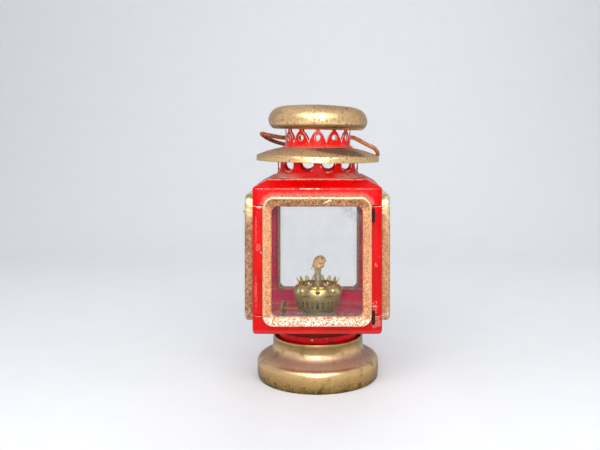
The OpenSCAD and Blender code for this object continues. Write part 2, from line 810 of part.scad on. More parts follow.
// Gap between two petals, drawn upright across the radius: each petal is a round-headed arch
// that ends in a narrow tab under the cap.
module notch() {
    half_pitch = PI * crown_r / petals;
    tab = 2;
    root = 0.3;
    head = 1 - pow((tab + root) / half_pitch, 2);
    side = [for (f = [0, 0.12, 0.3, 0.5, 0.7, 0.86, 1])
        [half_pitch * (1 - sqrt(1 - head * f)) + root, arch_h * head * f]];
    translate([crown_r - 5, 0, crown_z + notch_up]) rotate([90, 0, 90]) linear_extrude(10)
        polygon(both_sides(concat(side, [[half_pitch - tab, crown_h - notch_up + 1]])));
}

module crown_collar() {
    foot_r = crown_r + 2.6;
    foot_z = crown_z - shade_rise * shade_fall(foot_r - sheet_t);
    foot = [[foot_r, foot_z], [foot_r, crown_z + 0.5], [crown_r + 0.9, crown_z + 1.1],
            [crown_r, crown_z + 2], [crown_r, crown_top]];
    color("#d81414") difference() {
        spun(foot, sheet_t);
        for (i = [0:petals - 1]) rotate(360 * i / petals) {
            rotate(180 / petals) notch();
            translate([crown_r - 5, 0, axle_z]) rotate([0, 90, 0])
                cylinder(r = petal_hole_r, h = 10, $fn = 24);
        }
    }
}

cap_rim_z = crown_top - cap_hang;
cap_start = -65;
cap_edge_z = cap_rim_z - cap_edge_r * sin(cap_start);
cap_bend = 62;        // angle at which the shoulder's arc runs over into the wider one
dome_lean = 6;
cap_turn_x = cap_r - cap_shoulder_r - (cap_turn_r - cap_shoulder_r) * cos(cap_bend);
cap_turn_z = cap_edge_z - (cap_turn_r - cap_shoulder_r) * sin(cap_bend);
cap_dome_r = cap_turn_r + cap_turn_x / sin(dome_lean);
cap_dome_z = cap_turn_z + (cap_turn_r - cap_dome_r) * cos(dome_lean);
button_r = 1.5;

cap_path = concat(
    arc(cap_r - cap_edge_r, cap_edge_z, cap_edge_r, cap_start, 0, 5),
    arc(cap_r - cap_shoulder_r, cap_edge_z, cap_shoulder_r, 12, cap_bend, 4),
    arc(cap_turn_x, cap_turn_z, cap_turn_r, cap_bend + 7, 90 - dome_lean, 2),
    [for (i = [1:4]) let (a = dome_lean * (1 - i / 4) + asin(button_r / cap_dome_r) * i / 4)
        [cap_dome_r * sin(a), cap_dome_z + cap_dome_r * cos(a)]],
    [[button_r * 0.7, cap_dome_z + cap_dome_r + 0.6], [0, cap_dome_z + cap_dome_r + 0.6]]
);

module cap() {
    color("#c8a460") spun(cap_path, brass_t);
}

// Plate inside the cap that lies on the petals and keeps the rain out.
module cap_baffle() {
    in_r = cap_edge_r - brass_t;
    dz = cap_edge_z - crown_top;
    r = cap_r - cap_edge_r + sqrt(in_r * in_r - dz * dz);
    color("#907850") translate([0, 0, crown_top]) cylinder(r = r, h = brass_t);
}

// ================= bail =================

// Middle of the wire from the left hole round the back to the right hole, from the axle.
bail_reach = shade_r + 14.5;
bail_points = [
    [-crown_r - 3, 0, 0], [-crown_r - 9, 0.3, 0.9], [-49, 1.2, 2.4], [-54.6, 4, 3.6],
    [-57, 10, 3.6], [-56.2, 22, 1.9], [-52, 38, -1.6], [-43.5, 54, -5.6],
    [-30, 66.5, -9], [-12, 73.5, -12], [8, bail_reach, -14.8], [26.5, 73, -17.6],
    [43.5, 64.5, -20], [54.6, 51, -21], [60.6, 36, -19.6], [61.6, 24, -16.4],
    [59, 15.5, -12.6], [55.4, 9.5, -9.8], [50, 4.8, -7.4], [44, 1, -4.2],
    [crown_r + 6.5, 0.3, -1.6], [crown_r + 2.6, 0, 0],
];

function spline(p, i, t) =
    let (n = len(p) - 1, a = p[max(i - 1, 0)], b = p[i], c = p[i + 1], d = p[min(i + 2, n)])
    0.5 * (2 * b + (c - a) * t + (2 * a - 5 * b + 4 * c - d) * t * t
           + (3 * b - a - 3 * c + d) * t * t * t);

wire_sides = 10;
wire_line = concat([for (i = [0:len(bail_points) - 2], t = [0, 0.5]) spline(bail_points, i, t)],
                   [bail_points[len(bail_points) - 1]]);

function cross_frame(d) = let (u = unit(cross(d, [0.02, 0.03, 1])), v = cross(u, d)) [u, v];
function wire_dir(i) =
    let (n = len(wire_line) - 1)
    i == 0 ? [-1, 0, 0] : i == n ? [-1, 0, 0] : unit(wire_line[i + 1] - wire_line[i - 1]);
function wire_ring(i) =
    let (f = cross_frame(wire_dir(i)))
    [for (k = [0:wire_sides - 1]) let (a = 360 * k / wire_sides)
        wire_line[i] + wire_r * (cos(a) * f[0] + sin(a) * f[1])];

module bail_loop() {
    rings = len(wire_line);
    s = wire_sides;
    pts = [for (i = [0:rings - 1]) each wire_ring(i)];
    walls = [for (i = [0:rings - 2], k = [0:s - 1])
        [i * s + k, i * s + (k + 1) % s, (i + 1) * s + (k + 1) % s, (i + 1) * s + k]];
    ends = [[for (k = [s - 1:-1:0]) k], [for (k = [0:s - 1]) (rings - 1) * s + k]];
    polyhedron(points = pts, faces = concat(walls, ends), convexity = 6);
}

module bail() {
    stub = 6.6;
    stub_r = wire_r + 0.06;
    color("#a06838") translate([0, 0, axle_z]) {
        bail_loop();
        for (s = [-1, 1]) translate([s * (crown_r + (s < 0 ? 3.1 : 2.7)), 0, 0])
            rotate([0, -90 * s, 0]) {
                cylinder(r = stub_r, h = stub, $fn = 30);
                translate([0, 0, stub]) sphere(r = stub_r, $fn = 30);
            }
    }
}

fount_shell();
fount_base();
fount_dome();
screw_collar();
burner_base();
burner_basket();
burner_gallery();
burner_cone();
wick_tube();
wick();
wick_spindle();
wick_wheel();
wick_knob();
neck_collar();
lower_pressing();
post_front_left();
post_front_right();
post_rear_left();
post_rear_right();
upper_pressing();
vent_collar();
shade();
crown_collar();
cap_baffle();
cap();
frame_left();
frame_right();
frame_rear();
glass_left();
glass_right();
glass_rear();
ring_left();
ring_right();
ring_rear();
hinge_leaves();
hinge_pins();
door_catch();
door_frame();
door_glass();
door_ring();
door_barrels();
bail();
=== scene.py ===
"""Dresses the square wagon oil lamp: finishes for its solids, and finer meshes for its spun skins."""

import logging
import math
from dataclasses import dataclass, field
from enum import Enum
from typing import Any, Callable, Sequence

import bmesh
import bpy
from mathutils import Matrix, Vector, noise


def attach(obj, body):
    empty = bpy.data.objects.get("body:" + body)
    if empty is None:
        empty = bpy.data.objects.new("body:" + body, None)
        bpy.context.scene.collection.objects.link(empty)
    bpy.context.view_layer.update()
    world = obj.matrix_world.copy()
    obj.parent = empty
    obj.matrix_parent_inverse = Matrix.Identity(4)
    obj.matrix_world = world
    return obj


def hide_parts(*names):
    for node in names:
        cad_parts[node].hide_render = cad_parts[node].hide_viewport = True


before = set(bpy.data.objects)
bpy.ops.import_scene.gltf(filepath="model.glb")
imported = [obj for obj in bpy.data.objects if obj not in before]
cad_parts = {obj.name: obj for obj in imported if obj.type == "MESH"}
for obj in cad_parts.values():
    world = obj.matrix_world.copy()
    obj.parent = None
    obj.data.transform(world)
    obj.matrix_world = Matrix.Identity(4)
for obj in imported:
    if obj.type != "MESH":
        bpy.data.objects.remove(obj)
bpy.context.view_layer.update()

LOG = logging.getLogger("lamp")
MM = 0.001
SEED_STEP = (31.7, 17.3, 23.9)
FRONT_Y = -60.0
RGBA = tuple[float, float, float, float]
Outline = list[tuple[float, float]]


def tint(red: int, green: int, blue: int) -> RGBA:
    """Turns a screen colour of 0 to 255 into the renderer's own."""
    return tuple(pow(c / 255, 2.2) for c in (red, green, blue)) + (1.0,)


# ---------------------------------------------------------------- shader arithmetic


class Val:
    """A shader value that takes part in arithmetic."""

    def __init__(self, tree: "Tree", socket: bpy.types.NodeSocket) -> None:
        """Wraps one output socket of a tree."""
        self.tree, self.socket = tree, socket

    def __add__(self, other: "Term") -> "Val":
        """Sum."""
        return self.tree.math("ADD", self, other)

    def __sub__(self, other: "Term") -> "Val":
        """Difference."""
        return self.tree.math("SUBTRACT", self, other)

    def __rsub__(self, other: float) -> "Val":
        """Difference from a number."""
        return self.tree.math("SUBTRACT", other, self)

    def __mul__(self, other: "Term") -> "Val":
        """Product."""
        return self.tree.math("MULTIPLY", self, other)

    def __truediv__(self, other: "Term") -> "Val":
        """Quotient."""
        return self.tree.math("DIVIDE", self, other)

    def __pow__(self, other: float) -> "Val":
        """Power."""
        return self.tree.math("POWER", self, other)

    def __abs__(self) -> "Val":
        """Size without sign."""
        return self.tree.math("ABSOLUTE", self)

    __radd__ = __add__
    __rmul__ = __mul__

    def least(self, other: "Term") -> "Val":
        """Smaller of two."""
        return self.tree.math("MINIMUM", self, other)

    def most(self, other: "Term") -> "Val":
        """Larger of two."""
        return self.tree.math("MAXIMUM", self, other)

    def rise(self, low: float, high: float) -> "Val":
        """Turns the value into a mask with a smooth edge.

        Args:
            low: Where the mask is 0.
            high: Where it is 1; this may be the smaller of the two.

        Returns:
            The mask.
        """
        made = self.tree.node(
            "ShaderNodeMapRange",
            {"interpolation_type": "SMOOTHSTEP"},
            {"Value": self, "From Min": low, "From Max": high},
        )
        return Val(self.tree, made.outputs[0])

    def near(self, centre: float, half: float, soft: float) -> "Val":
        """1 within half of a centre, and 0 beyond half plus soft."""
        return abs(self - centre).rise(half + soft, half)


Term = Val | float


class Tree:
    """A node tree that nodes are added to by their type."""

    def __init__(self, nodes: bpy.types.NodeTree) -> None:
        """Starts with an empty tree."""
        self.nodes = nodes
        nodes.nodes.clear()

    def feed(self, socket: bpy.types.NodeSocket, value: Any) -> None:
        """Links a socket to a value or a socket, or sets it to a constant.

        Args:
            socket: The input socket.
            value: What feeds it.
        """
        value = value.socket if isinstance(value, Val) else value
        if isinstance(value, bpy.types.NodeSocket):
            self.nodes.links.new(value, socket)
        else:
            socket.default_value = value

    def node(
        self, kind: str, settings: dict[str, Any] | None = None, inputs: dict[Any, Any] | None = None
    ) -> bpy.types.Node:
        """Adds a node.

        Args:
            kind: The node's type.
            settings: Its own settings, set first; "stops" fills a colour ramp.
            inputs: Values or links by a socket's index, identifier or name.

        Returns:
            The new node.
        """
        made = self.nodes.nodes.new(kind)
        for key, value in (settings or {}).items():
            if key == "stops":
                ramp = made.color_ramp
                while len(ramp.elements) < len(value):
                    ramp.elements.new(1.0)
                for element, (at, colour) in zip(ramp.elements, value):
                    element.position, element.color = at, colour
            else:
                setattr(made, key, value)
        for key, value in (inputs or {}).items():
            socket = (
                made.inputs[key]
                if isinstance(key, int)
                else next(s for s in made.inputs if key in (s.identifier, s.name))
            )
            self.feed(socket, value)
        return made

    def math(self, operation: str, *terms: Term) -> Val:
        """Adds a Math node over values and numbers."""
        made = self.node("ShaderNodeMath", {"operation": operation}, dict(enumerate(terms)))
        return Val(self, made.outputs[0])


class Shader(Tree):
    """Node tree of one material, with places measured in millimetres."""

    def __init__(self, name: str) -> None:
        """Starts a material with one Principled surface.

        Args:
            name: The material's name.
        """
        self.material = bpy.data.materials.new(name)
        self.material.use_nodes = True
        super().__init__(self.material.node_tree)
        self.surface = self.node("ShaderNodeBsdfPrincipled")
        self.node("ShaderNodeOutputMaterial", None, {"Surface": self.surface.outputs[0]})
        raw = self.node("ShaderNodeTexCoord").outputs["Object"]
        self.place = self.vector("SCALE", {0: raw, "Scale": 1 / MM})
        parts = self.node("ShaderNodeSeparateXYZ", None, {0: self.place}).outputs
        self.x, self.y, self.z = (Val(self, part) for part in parts)

    def vector(self, operation: str, inputs: dict[Any, Any]) -> bpy.types.NodeSocket:
        """Adds a Vector Math node and returns its vector."""
        return self.node("ShaderNodeVectorMath", {"operation": operation}, inputs).outputs[0]

    def mix(self, amount: Term, first: Any, second: Any) -> bpy.types.NodeSocket:
        """Blends two colours.

        Args:
            amount: Share of the second.
            first: A colour or its socket.
            second: Another.

        Returns:
            The blend.
        """
        made = self.node(
            "ShaderNodeMix",
            {"data_type": "RGBA"},
            {"Factor_Float": amount, "A_Color": first, "B_Color": second},
        )
        return next(s for s in made.outputs if s.identifier == "Result_Color")

    def layers(self, base: Any, *coats: tuple[Term, Any]) -> bpy.types.NodeSocket:
        """Lays colours over a base.

        Args:
            base: The colour below.
            coats: Masks with the colours that they let through, the lowest coat first.

        Returns:
            What is seen from above.
        """
        for mask, colour in coats:
            base = self.mix(mask, base, colour)
        return base

    def ramp(self, value: Val, *stops: tuple[float, RGBA]) -> bpy.types.NodeSocket:
        """Looks a value up in a row of colours."""
        return self.node("ShaderNodeValToRGB", {"stops": stops}, {0: value}).outputs[0]

    def moved(self, seed: float, stretch: Sequence[float] = (1, 1, 1)) -> bpy.types.NodeSocket:
        """Place in millimetres, stretched, and moved by a seed so that textures differ."""
        grown = self.vector("MULTIPLY", {0: self.place, 1: tuple(stretch)})
        return self.vector("ADD", {0: grown, 1: tuple(seed * step for step in SEED_STEP)})

    def cloud(
        self, size: float, seed: float = 0, detail: float = 3, rough: float = 0.55,
        stretch: Sequence[float] = (1, 1, 1),
    ) -> Val:
        """Makes soft noise.

        Args:
            size: Width of its blobs in millimetres.
            seed: Moves it.
            detail: How many finer layers it has.
            rough: How strong they are.
            stretch: Squeezes it along the three axes.

        Returns:
            The noise, mostly from 0.3 to 0.7.
        """
        made = self.node(
            "ShaderNodeTexNoise",
            None,
            {"Vector": self.moved(seed, stretch), "Scale": 1 / size, "Detail": detail, "Roughness": rough},
        )
        return Val(self, made.outputs[0])

    def grains(self, size: float, seed: float = 0) -> tuple[Val, Val]:
        """Splits space into cells.

        Args:
            size: Their width in millimetres.
            seed: Moves them.

        Returns:
            The distance from a cell's middle, and the cell's own number from 0 to 1.
        """
        made = self.node("ShaderNodeTexVoronoi", None, {"Vector": self.moved(seed), "Scale": 1 / size})
        own = self.node("ShaderNodeSeparateXYZ", None, {0: made.outputs["Color"]}).outputs[0]
        return Val(self, made.outputs["Distance"]), Val(self, own)

    def specks(self, size: float, share: float, seed: float = 0) -> Val:
        """Scattered round specks that fill a share of their cells."""
        distance, own = self.grains(size, seed)
        return distance.rise(0.42, 0.22) * own.rise(share, share - 0.08)

    def spot(
        self, centre: Sequence[float | None], radii: Sequence[float], ragged: float = 0.35, seed: float = 0
    ) -> Val:
        """A ragged patch round a point.

        Args:
            centre: Its middle in millimetres; None leaves that direction out.
            radii: Its half sizes along the three axes.
            ragged: How far noise moves its edge, as a share of its size.
            seed: Moves the noise.

        Returns:
            1 inside the patch and 0 outside.
        """
        total: Term = 0.0
        for value, middle, radius in zip((self.x, self.y, self.z), centre, radii):
            if middle is not None:
                total = ((value - middle) / radius) ** 2 + total
        edge = (self.cloud(max(min(radii), 1.2), seed, 3) - 0.5) * (4 * ragged)
        return (total + edge).rise(1.25, 0.75)

    def rounded(self, across: Val, up: Val, half_w: float, half_h: float) -> Val:
        """Distance from a rectangle, so that its steps have round corners.

        Args:
            across: Distance from its middle along its width.
            up: Distance from its middle along its height.
            half_w: Half its width.
            half_h: Half its height.

        Returns:
            The distance in millimetres, 0 inside.
        """
        du, dv = (across - half_w).most(0), (up - half_h).most(0)
        return (du * du + dv * dv) ** 0.5

    def grazing(self, low: float = 0.45) -> Val:
        """0 on what faces the eye, and 1 where a surface turns away from it."""
        facing = self.node("ShaderNodeLayerWeight", None, {"Blend": 0.5}).outputs["Facing"]
        return Val(self, facing).rise(low, 1.0)

    def upward(self, low: float, high: float) -> Val:
        """Goes from 0 to 1 as a surface turns to face up."""
        normal = self.node("ShaderNodeNewGeometry").outputs["Normal"]
        return Val(self, self.node("ShaderNodeSeparateXYZ", None, {0: normal}).outputs[2]).rise(low, high)

    def bump(self, height: Val, depth: float, strength: float) -> None:
        """Roughens the surface.

        Args:
            height: From 0 in its hollows to 1 on its heights.
            depth: How far apart those are, in millimetres.
            strength: How strongly it shows.
        """
        made = self.node(
            "ShaderNodeBump", None, {"Strength": strength, "Distance": depth * MM, "Height": height}
        )
        self.set(Normal=made.outputs[0])

    def set(self, **sockets: Any) -> None:
        """Sets sockets of the surface by name, with underscores for spaces."""
        for name, value in sockets.items():
            self.feed(self.surface.inputs[name.replace("_", " ")], value)


# ---------------------------------------------------------------- finishes


@dataclass(frozen=True)
class Finish:
    """One finish: a name and the record's slot that it belongs to."""

    name: str
    slot: str

    def shade(self, s: Shader) -> None:
        """Builds the nodes of this finish."""
        raise NotImplementedError

    def material(self) -> bpy.types.Material:
        """Builds the finish's material at first use.

        Returns:
            The material.
        """
        found = bpy.data.materials.get(self.name)
        if found is None:
            shader = Shader(self.name)
            self.shade(shader)
            found = shader.material
        return found


@dataclass(frozen=True)
class FountBrass(Finish):
    """Polished brass gone olive and brown in bands, with painted highlight bands, bright pinpoints and
    painted shade at its edges.
    """

    def shade(self, s: Shader) -> None:
        """Bands by height with painted highlights on the crest, cove and rim, tarnish clouds, speckle, a few
        dents' dirt, a darker foot and painted shade at the edges.

        Args:
            s: The finish's node tree.
        """
        wobble = (s.cloud(14, 1) - 0.5) * 2.2
        z = s.z + wobble
        # Colour bands by height: the bright stops at the crest (0.42), the cove (0.68) and the rim (0.95) are
        # painted highlights; the other stops are olive and brown bands.
        bands_and_highlights = s.ramp(
            z / 45,
            (0.0, tint(96, 76, 46)),
            (0.08, tint(142, 114, 68)),
            (0.28, tint(190, 154, 100)),
            (0.42, tint(230, 194, 144)),
            (0.50, tint(186, 152, 126)),
            (0.60, tint(176, 144, 120)),
            (0.68, tint(232, 194, 146)),
            (0.77, tint(186, 150, 106)),
            (0.86, tint(138, 112, 70)),
            (0.95, tint(226, 190, 138)),
        )
        shoulder = s.z.near(25, 2.5, 3)
        streak = s.cloud(0.7, 11, 3, 0.6, (1, 1, 0.12))
        tarnish = s.cloud(9, 2, 4, 0.6).rise(0.5, 0.72)
        rosy = s.cloud(17, 3, 3).rise(0.52, 0.7) * s.z.near(25, 5, 5)
        low = s.z.rise(17, 12)
        bright = s.cloud(1.3, 4, 4, 0.75).rise(0.54, 0.64) * low
        dark = s.cloud(1.7, 5, 4, 0.75).rise(0.56, 0.66) * (low * 0.8 + 0.2)
        # Darker patches round the foot.
        dark_foot = s.spot((None, None, 3), (1, 1, 4), 0.9, 6) * s.cloud(5, 7).rise(0.5, 0.64)
        colour = s.layers(
            bands_and_highlights,
            (tarnish * 0.55, tint(120, 98, 60)),
            (s.spot((0, -46, 35), (24, 24, 3.6), 0.5, 12) * 0.5, tint(118, 96, 54)),
            (rosy * 0.4, tint(180, 150, 130)),
            (dark * 0.5, tint(92, 76, 42)),
            (bright * 0.5, tint(228, 202, 136)),
            (dark_foot * 0.6, tint(58, 46, 28)),
            # Painted shade: darker where the surface turns away from the eye.
            (s.grazing() * 0.6, tint(98, 72, 46)),
        )
        smear = s.cloud(3.2, 8, 3, 0.6, (0.25, 0.25, 1.6))
        s.set(
            Base_Color=colour,
            Metallic=0.97 - shoulder * 0.3,
            Roughness=0.22 + smear * 0.12 + tarnish * 0.12 + low * 0.08 + shoulder * 0.16 + streak * 0.12,
        )
        s.bump(s.cloud(7, 9, 2) * 0.7 + s.cloud(1.1, 10, 3) * 0.16 + streak * 0.14 + dark * -0.2, 0.5, 0.55)


@dataclass(frozen=True)
class ChimneyBrass(Finish):
    """Spotted brass of the cap and the shade; dusty where it faces up, with a painted highlight at the hem
    and painted shade towards the sides.
    """

    dust: float = 0.3
    rim: float = 0.0
    turned_in: bool = False

    def shade(self, s: Shader) -> None:
        """Pale gold with rusty spots, olive clouds and dust on what faces up, a painted highlight at the hem,
        and painted shade at the sides and where it turns away.

        Args:
            s: The finish's node tree.
        """
        olive = s.cloud(9, 21, 4, 0.62).rise(0.42, 0.68)
        fine = s.cloud(1.3, 22, 3, 0.7)
        spots = s.specks(3.8, 0.34, 23).most(s.specks(1.8, 0.34, 24)) * s.cloud(10, 25).rise(0.36, 0.5)
        pits = s.specks(1.1, 0.3, 26)
        up = s.upward(0.5, 0.9)
        rust = s.cloud(4.0, 27, 4, 0.68)
        grime = up * self.dust * rust.rise(0.25, 0.55)
        soot = s.spot((20, -38, None), (26, 13, 1), 0.6, 29) * up * fine.rise(0.3, 0.48)
        crust = s.ramp(rust, (0.33, tint(112, 86, 64)), (0.48, tint(192, 158, 126)), (0.66, tint(92, 74, 48)))
        # Painted shade: browner towards the left and right sides.
        ends = abs(s.x).rise(30, 46)
        hem = s.z - self.rim
        low = (hem.near(2.6, 1.0, 1.6) if self.turned_in else hem.rise(-2, -3)) * 0.8
        # Painted highlight: a paler line along the cap's hem and over the shade's rim band.
        edge = hem.rise(1.0, 0.5) if self.turned_in else hem.rise(5.4, 3.6)
        colour = s.layers(
            tint(232, 192, 140),
            (olive * 0.4, tint(180, 146, 96)),
            (ends * fine.rise(0.35, 0.6) * 0.5, tint(170, 132, 90)),
            (fine.rise(0.5, 0.66) * 0.45, tint(246, 222, 168)),
            (fine.rise(0.48, 0.36) * 0.4, tint(158, 126, 78)),
            (grime, crust),
            (low, tint(112, 90, 44)),
            (edge * 0.5, tint(244, 216, 150)),
            (spots * 0.85, tint(156, 88, 62)),
            (pits * 0.45, tint(104, 80, 46)),
            (soot * self.dust, tint(48, 38, 28)),
            # Painted shade: darker where the surface turns away from the eye.
            (s.grazing() * 0.5, tint(112, 84, 52)),
        )
        s.set(
            Base_Color=colour,
            Metallic=0.94 - grime * 0.75 - spots * 0.4,
            Roughness=0.3 + grime * 0.4 + spots * 0.3 + olive * 0.08,
        )
        s.bump(s.cloud(8, 28, 2) * 0.6 + rust * 0.35 + fine * 0.35 + spots * -0.3, 0.5, 0.7)


@dataclass(frozen=True)
class BurnerBrass(Finish):
    """Stamped brass of the burner, olive in the hollows, with painted shade on the pieces that sit deeper."""

    # Painted shade: how much darker the whole piece is made.
    painted_shade: float = 0.0

    def shade(self, s: Shader) -> None:
        """Warm brass with pale wear on top, darker towards the bottom, and darkened as a whole by its painted
        shade.

        Args:
            s: The finish's node tree.
        """
        cloud = s.cloud(4.2, 31, 4, 0.62)
        worn = s.cloud(1.3, 32, 3, 0.7)
        # Mask of the darker olive: lower down, in clouds, and the piece's painted shade.
        soot = s.z.rise(76, 62) * 0.2 + cloud.rise(0.5, 0.72) * 0.3 + self.painted_shade
        colour = s.layers(
            tint(224, 208, 140),
            (worn.rise(0.45, 0.7) * 0.4, tint(246, 234, 180)),
            (soot, tint(122, 122, 66)),
            (s.specks(1.3, 0.24, 33) * 0.4, tint(86, 76, 40)),
            (s.z.rise(82, 80) * 0.55, tint(140, 148, 84)),
        )
        s.set(Base_Color=colour, Metallic=0.92 - s.z.rise(82, 80) * 0.35, Roughness=0.3 + soot * 0.18)
        s.bump(cloud * 0.5 + worn * 0.25, 0.3, 0.6)


@dataclass(frozen=True)
class RingBrass(Finish):
    """Dull tan metal of the rings behind the panes."""

    def shade(self, s: Shader) -> None:
        """Tan with rusty clouds.

        Args:
            s: The finish's node tree.
        """
        cloud = s.cloud(3.5, 36, 4, 0.65)
        colour = s.layers(tint(186, 150, 108), (cloud.rise(0.45, 0.68) * 0.7, tint(126, 88, 58)))
        s.set(Base_Color=colour, Metallic=0.15, Roughness=0.42 + cloud * 0.2)
        s.bump(cloud, 0.2, 0.5)


class Wall(Enum):
    """A side of the square body, by its turn about the upright axis in degrees."""

    FRONT = 0
    RIGHT = 90
    REAR = 180
    LEFT = 270

    def along(self, s: Shader) -> Val:
        """Place along the wall, growing to the right of whoever faces it."""
        return {Wall.FRONT: s.x, Wall.REAR: s.x * -1, Wall.RIGHT: s.y, Wall.LEFT: s.y * -1}[self]


@dataclass(frozen=True)
class WindowSizes:
    """Opening and frame of one window, in millimetres."""

    mid_z: float = 124.0
    open_half_w: float = 41.5
    open_half_h: float = 50.0
    side_w: float = 8.3
    rail_w: float = 9.4
    corner: float = 10.0

    @property
    def flat_half_w(self) -> float:
        """Half the frame's width without its round corners."""
        return self.open_half_w + self.side_w - self.corner

    @property
    def flat_half_h(self) -> float:
        """Half the frame's height without its round corners."""
        return self.open_half_h + self.rail_w - self.corner

    def outward(self, s: Shader, along: Val) -> Val:
        """Distance outwards from the frame's outline."""
        return s.rounded(abs(along), abs(s.z - self.mid_z), self.flat_half_w, self.flat_half_h) - self.corner


WINDOW = WindowSizes()


@dataclass(frozen=True)
class RustedFrame(Finish):
    """Plated steel frame eaten by rust: orange grains, cream specks and dark pits."""

    wall: Wall = Wall.FRONT
    plate_left: float = 0.0
    chip_slope: tuple[float, float] = (0.91, 0.415)
    chip_at: tuple[float, float] = (80.8, 158.8)

    def chips(self, s: Shader) -> Term:
        """Bright bare chips of the door's frame: a slanting wedge on top and two dots at the foot.

        Args:
            s: The finish's node tree.

        Returns:
            Their mask.
        """
        if self.wall is not Wall.FRONT:
            return 0.0
        run, rise = self.chip_slope
        slant = s.x * run + s.z * rise - self.chip_at[0]
        off = s.z * run - s.x * rise - self.chip_at[1]
        ragged = s.cloud(1.1, 53, 4, 0.75)
        wedge = (abs(off) - slant * 0.08 + ragged * 2.4).rise(1.75, 1.4)
        wedge = wedge * abs(slant + ragged * 2).rise(6.6, 6.0)
        dot = s.spot((-45.7, None, 69.6), (0.9, 1, 0.9), 0.2, 52)
        return wedge.most(dot).most(s.spot((46.5, None, 69.2), (1.2, 1, 1.6), 0.5, 54))

    def shade(self, s: Shader) -> None:
        """Rust grains, pale specks that thicken downwards with painted light along the sill, and bright plate
        left on the outer edges.

        Args:
            s: The finish's node tree.
        """
        inward = WINDOW.outward(s, self.wall.along(s)) * -1
        coarse = s.cloud(1.5, 41, 3, 0.7)
        _, grain = s.grains(1.0, 42)
        _, small = s.grains(0.6, 55)
        warm, pink = {
            Wall.RIGHT: (tint(196, 150, 88), tint(192, 122, 88)),
            Wall.LEFT: (tint(160, 88, 66), tint(150, 92, 82)),
        }.get(self.wall, (tint(210, 142, 88), tint(200, 140, 110)))
        rust = s.ramp(
            grain * 0.55 + small * 0.35 + coarse * 0.15,
            (0.10, tint(104, 60, 40)),
            (0.26, tint(168, 104, 66)),
            (0.55, tint(198, 132, 86)),
            (0.80, tint(226, 172, 124)),
            (0.96, tint(246, 212, 172)),
        )
        rust = s.layers(rust, (s.cloud(7, 56, 3).rise(0.45, 0.62) * 0.35, warm))
        rust = s.layers(rust, (s.cloud(9, 57, 3).rise(0.45, 0.62) * 0.35, pink))
        sill, lintel = WINDOW.mid_z - WINDOW.open_half_h, WINDOW.mid_z + WINDOW.open_half_h
        low = s.z.rise(sill + 1.5, sill - 2.5)
        top = s.z.rise(lintel - 3, lintel + 1)
        pale = s.specks(1.5, 0.3, 43).most(s.specks(0.9, 0.3, 44))
        # Cream specks crowding the sill: rust bloom, and painted light where the sill faces the lamps.
        sill_specks_and_light = (grain * 0.5 + small * 0.2 + s.cloud(4, 45, 3, 0.7) * 0.8).rise(0.66, 0.8) * low
        share = 0.22 if self.wall is Wall.FRONT else 0.36
        pits = s.specks(1.4, share, 46).most(s.specks(0.9, 0.3, 47))
        eaten = (small * 0.5 + s.cloud(4, 51, 3, 0.7)).rise(0.66, 0.78)
        pits = pits.most(eaten * top * inward.rise(1.8, 3.4))
        rim = inward.rise(2.6, 1.3)
        kept = rim * (top * 0.95 + 0.25) * s.cloud(6, 48, 3).rise(0.3, 0.46)
        plate = s.z.rise(WINDOW.mid_z + 28, WINDOW.mid_z + 48) * s.cloud(7, 49, 4, 0.6).rise(0.3, 0.5)
        plate = plate * self.plate_left
        brass = s.ramp(s.cloud(5, 50), (0.35, tint(196, 160, 104)), (0.65, tint(244, 226, 180)))
        colour = s.layers(
            rust,
            (pits * (0.8 - low * 0.5), tint(70, 42, 28)),
            (pale * (0.3 + low * 0.4), tint(248, 222, 186)),
            (sill_specks_and_light * 0.85, tint(252, 236, 216)),
            (kept, tint(244, 222, 180)),
            (plate, brass),
            (self.chips(s) * 0.9, tint(252, 238, 210)),
        )
        if self.wall in (Wall.LEFT, Wall.RIGHT):
            least, brown = (0.26, tint(84, 34, 24)) if self.wall is Wall.LEFT else (0.15, tint(136, 74, 30))
            stain = s.cloud(2.4, 59, 4, 0.7).rise(0.38, 0.62) * 0.5 + least
            colour = s.mix(stain * (1 - plate), colour, brown)
        shine = kept.most(plate)
        s.set(
            Base_Color=colour,
            Metallic=shine * 0.8,
            Roughness=0.7 - shine * 0.38,
            Specular_IOR_Level=0.2,
        )
        s.bump(coarse * 0.5 + grain * 0.35 + pale * 0.2 - pits * 0.5, 0.35, 0.8)


class Wear(Enum):
    """Which piece of the red body a coat of enamel lies on."""

    POST = "post"
    TRAY = "tray"
    ROOF = "roof"
    VENT = "vent"
    CROWN = "crown"
    NECK = "neck"


@dataclass(frozen=True)
class WearMasks:
    """Where a coat of enamel is dusty, chipped dark, chipped pale or black along its seams; painted
    highlights ride on the dusty and pale masks, and painted shade on the black one.
    """

    dust: Term = 0.0
    chips: Term = 0.0
    pale: Term = 0.0
    seam: Term = 0.0


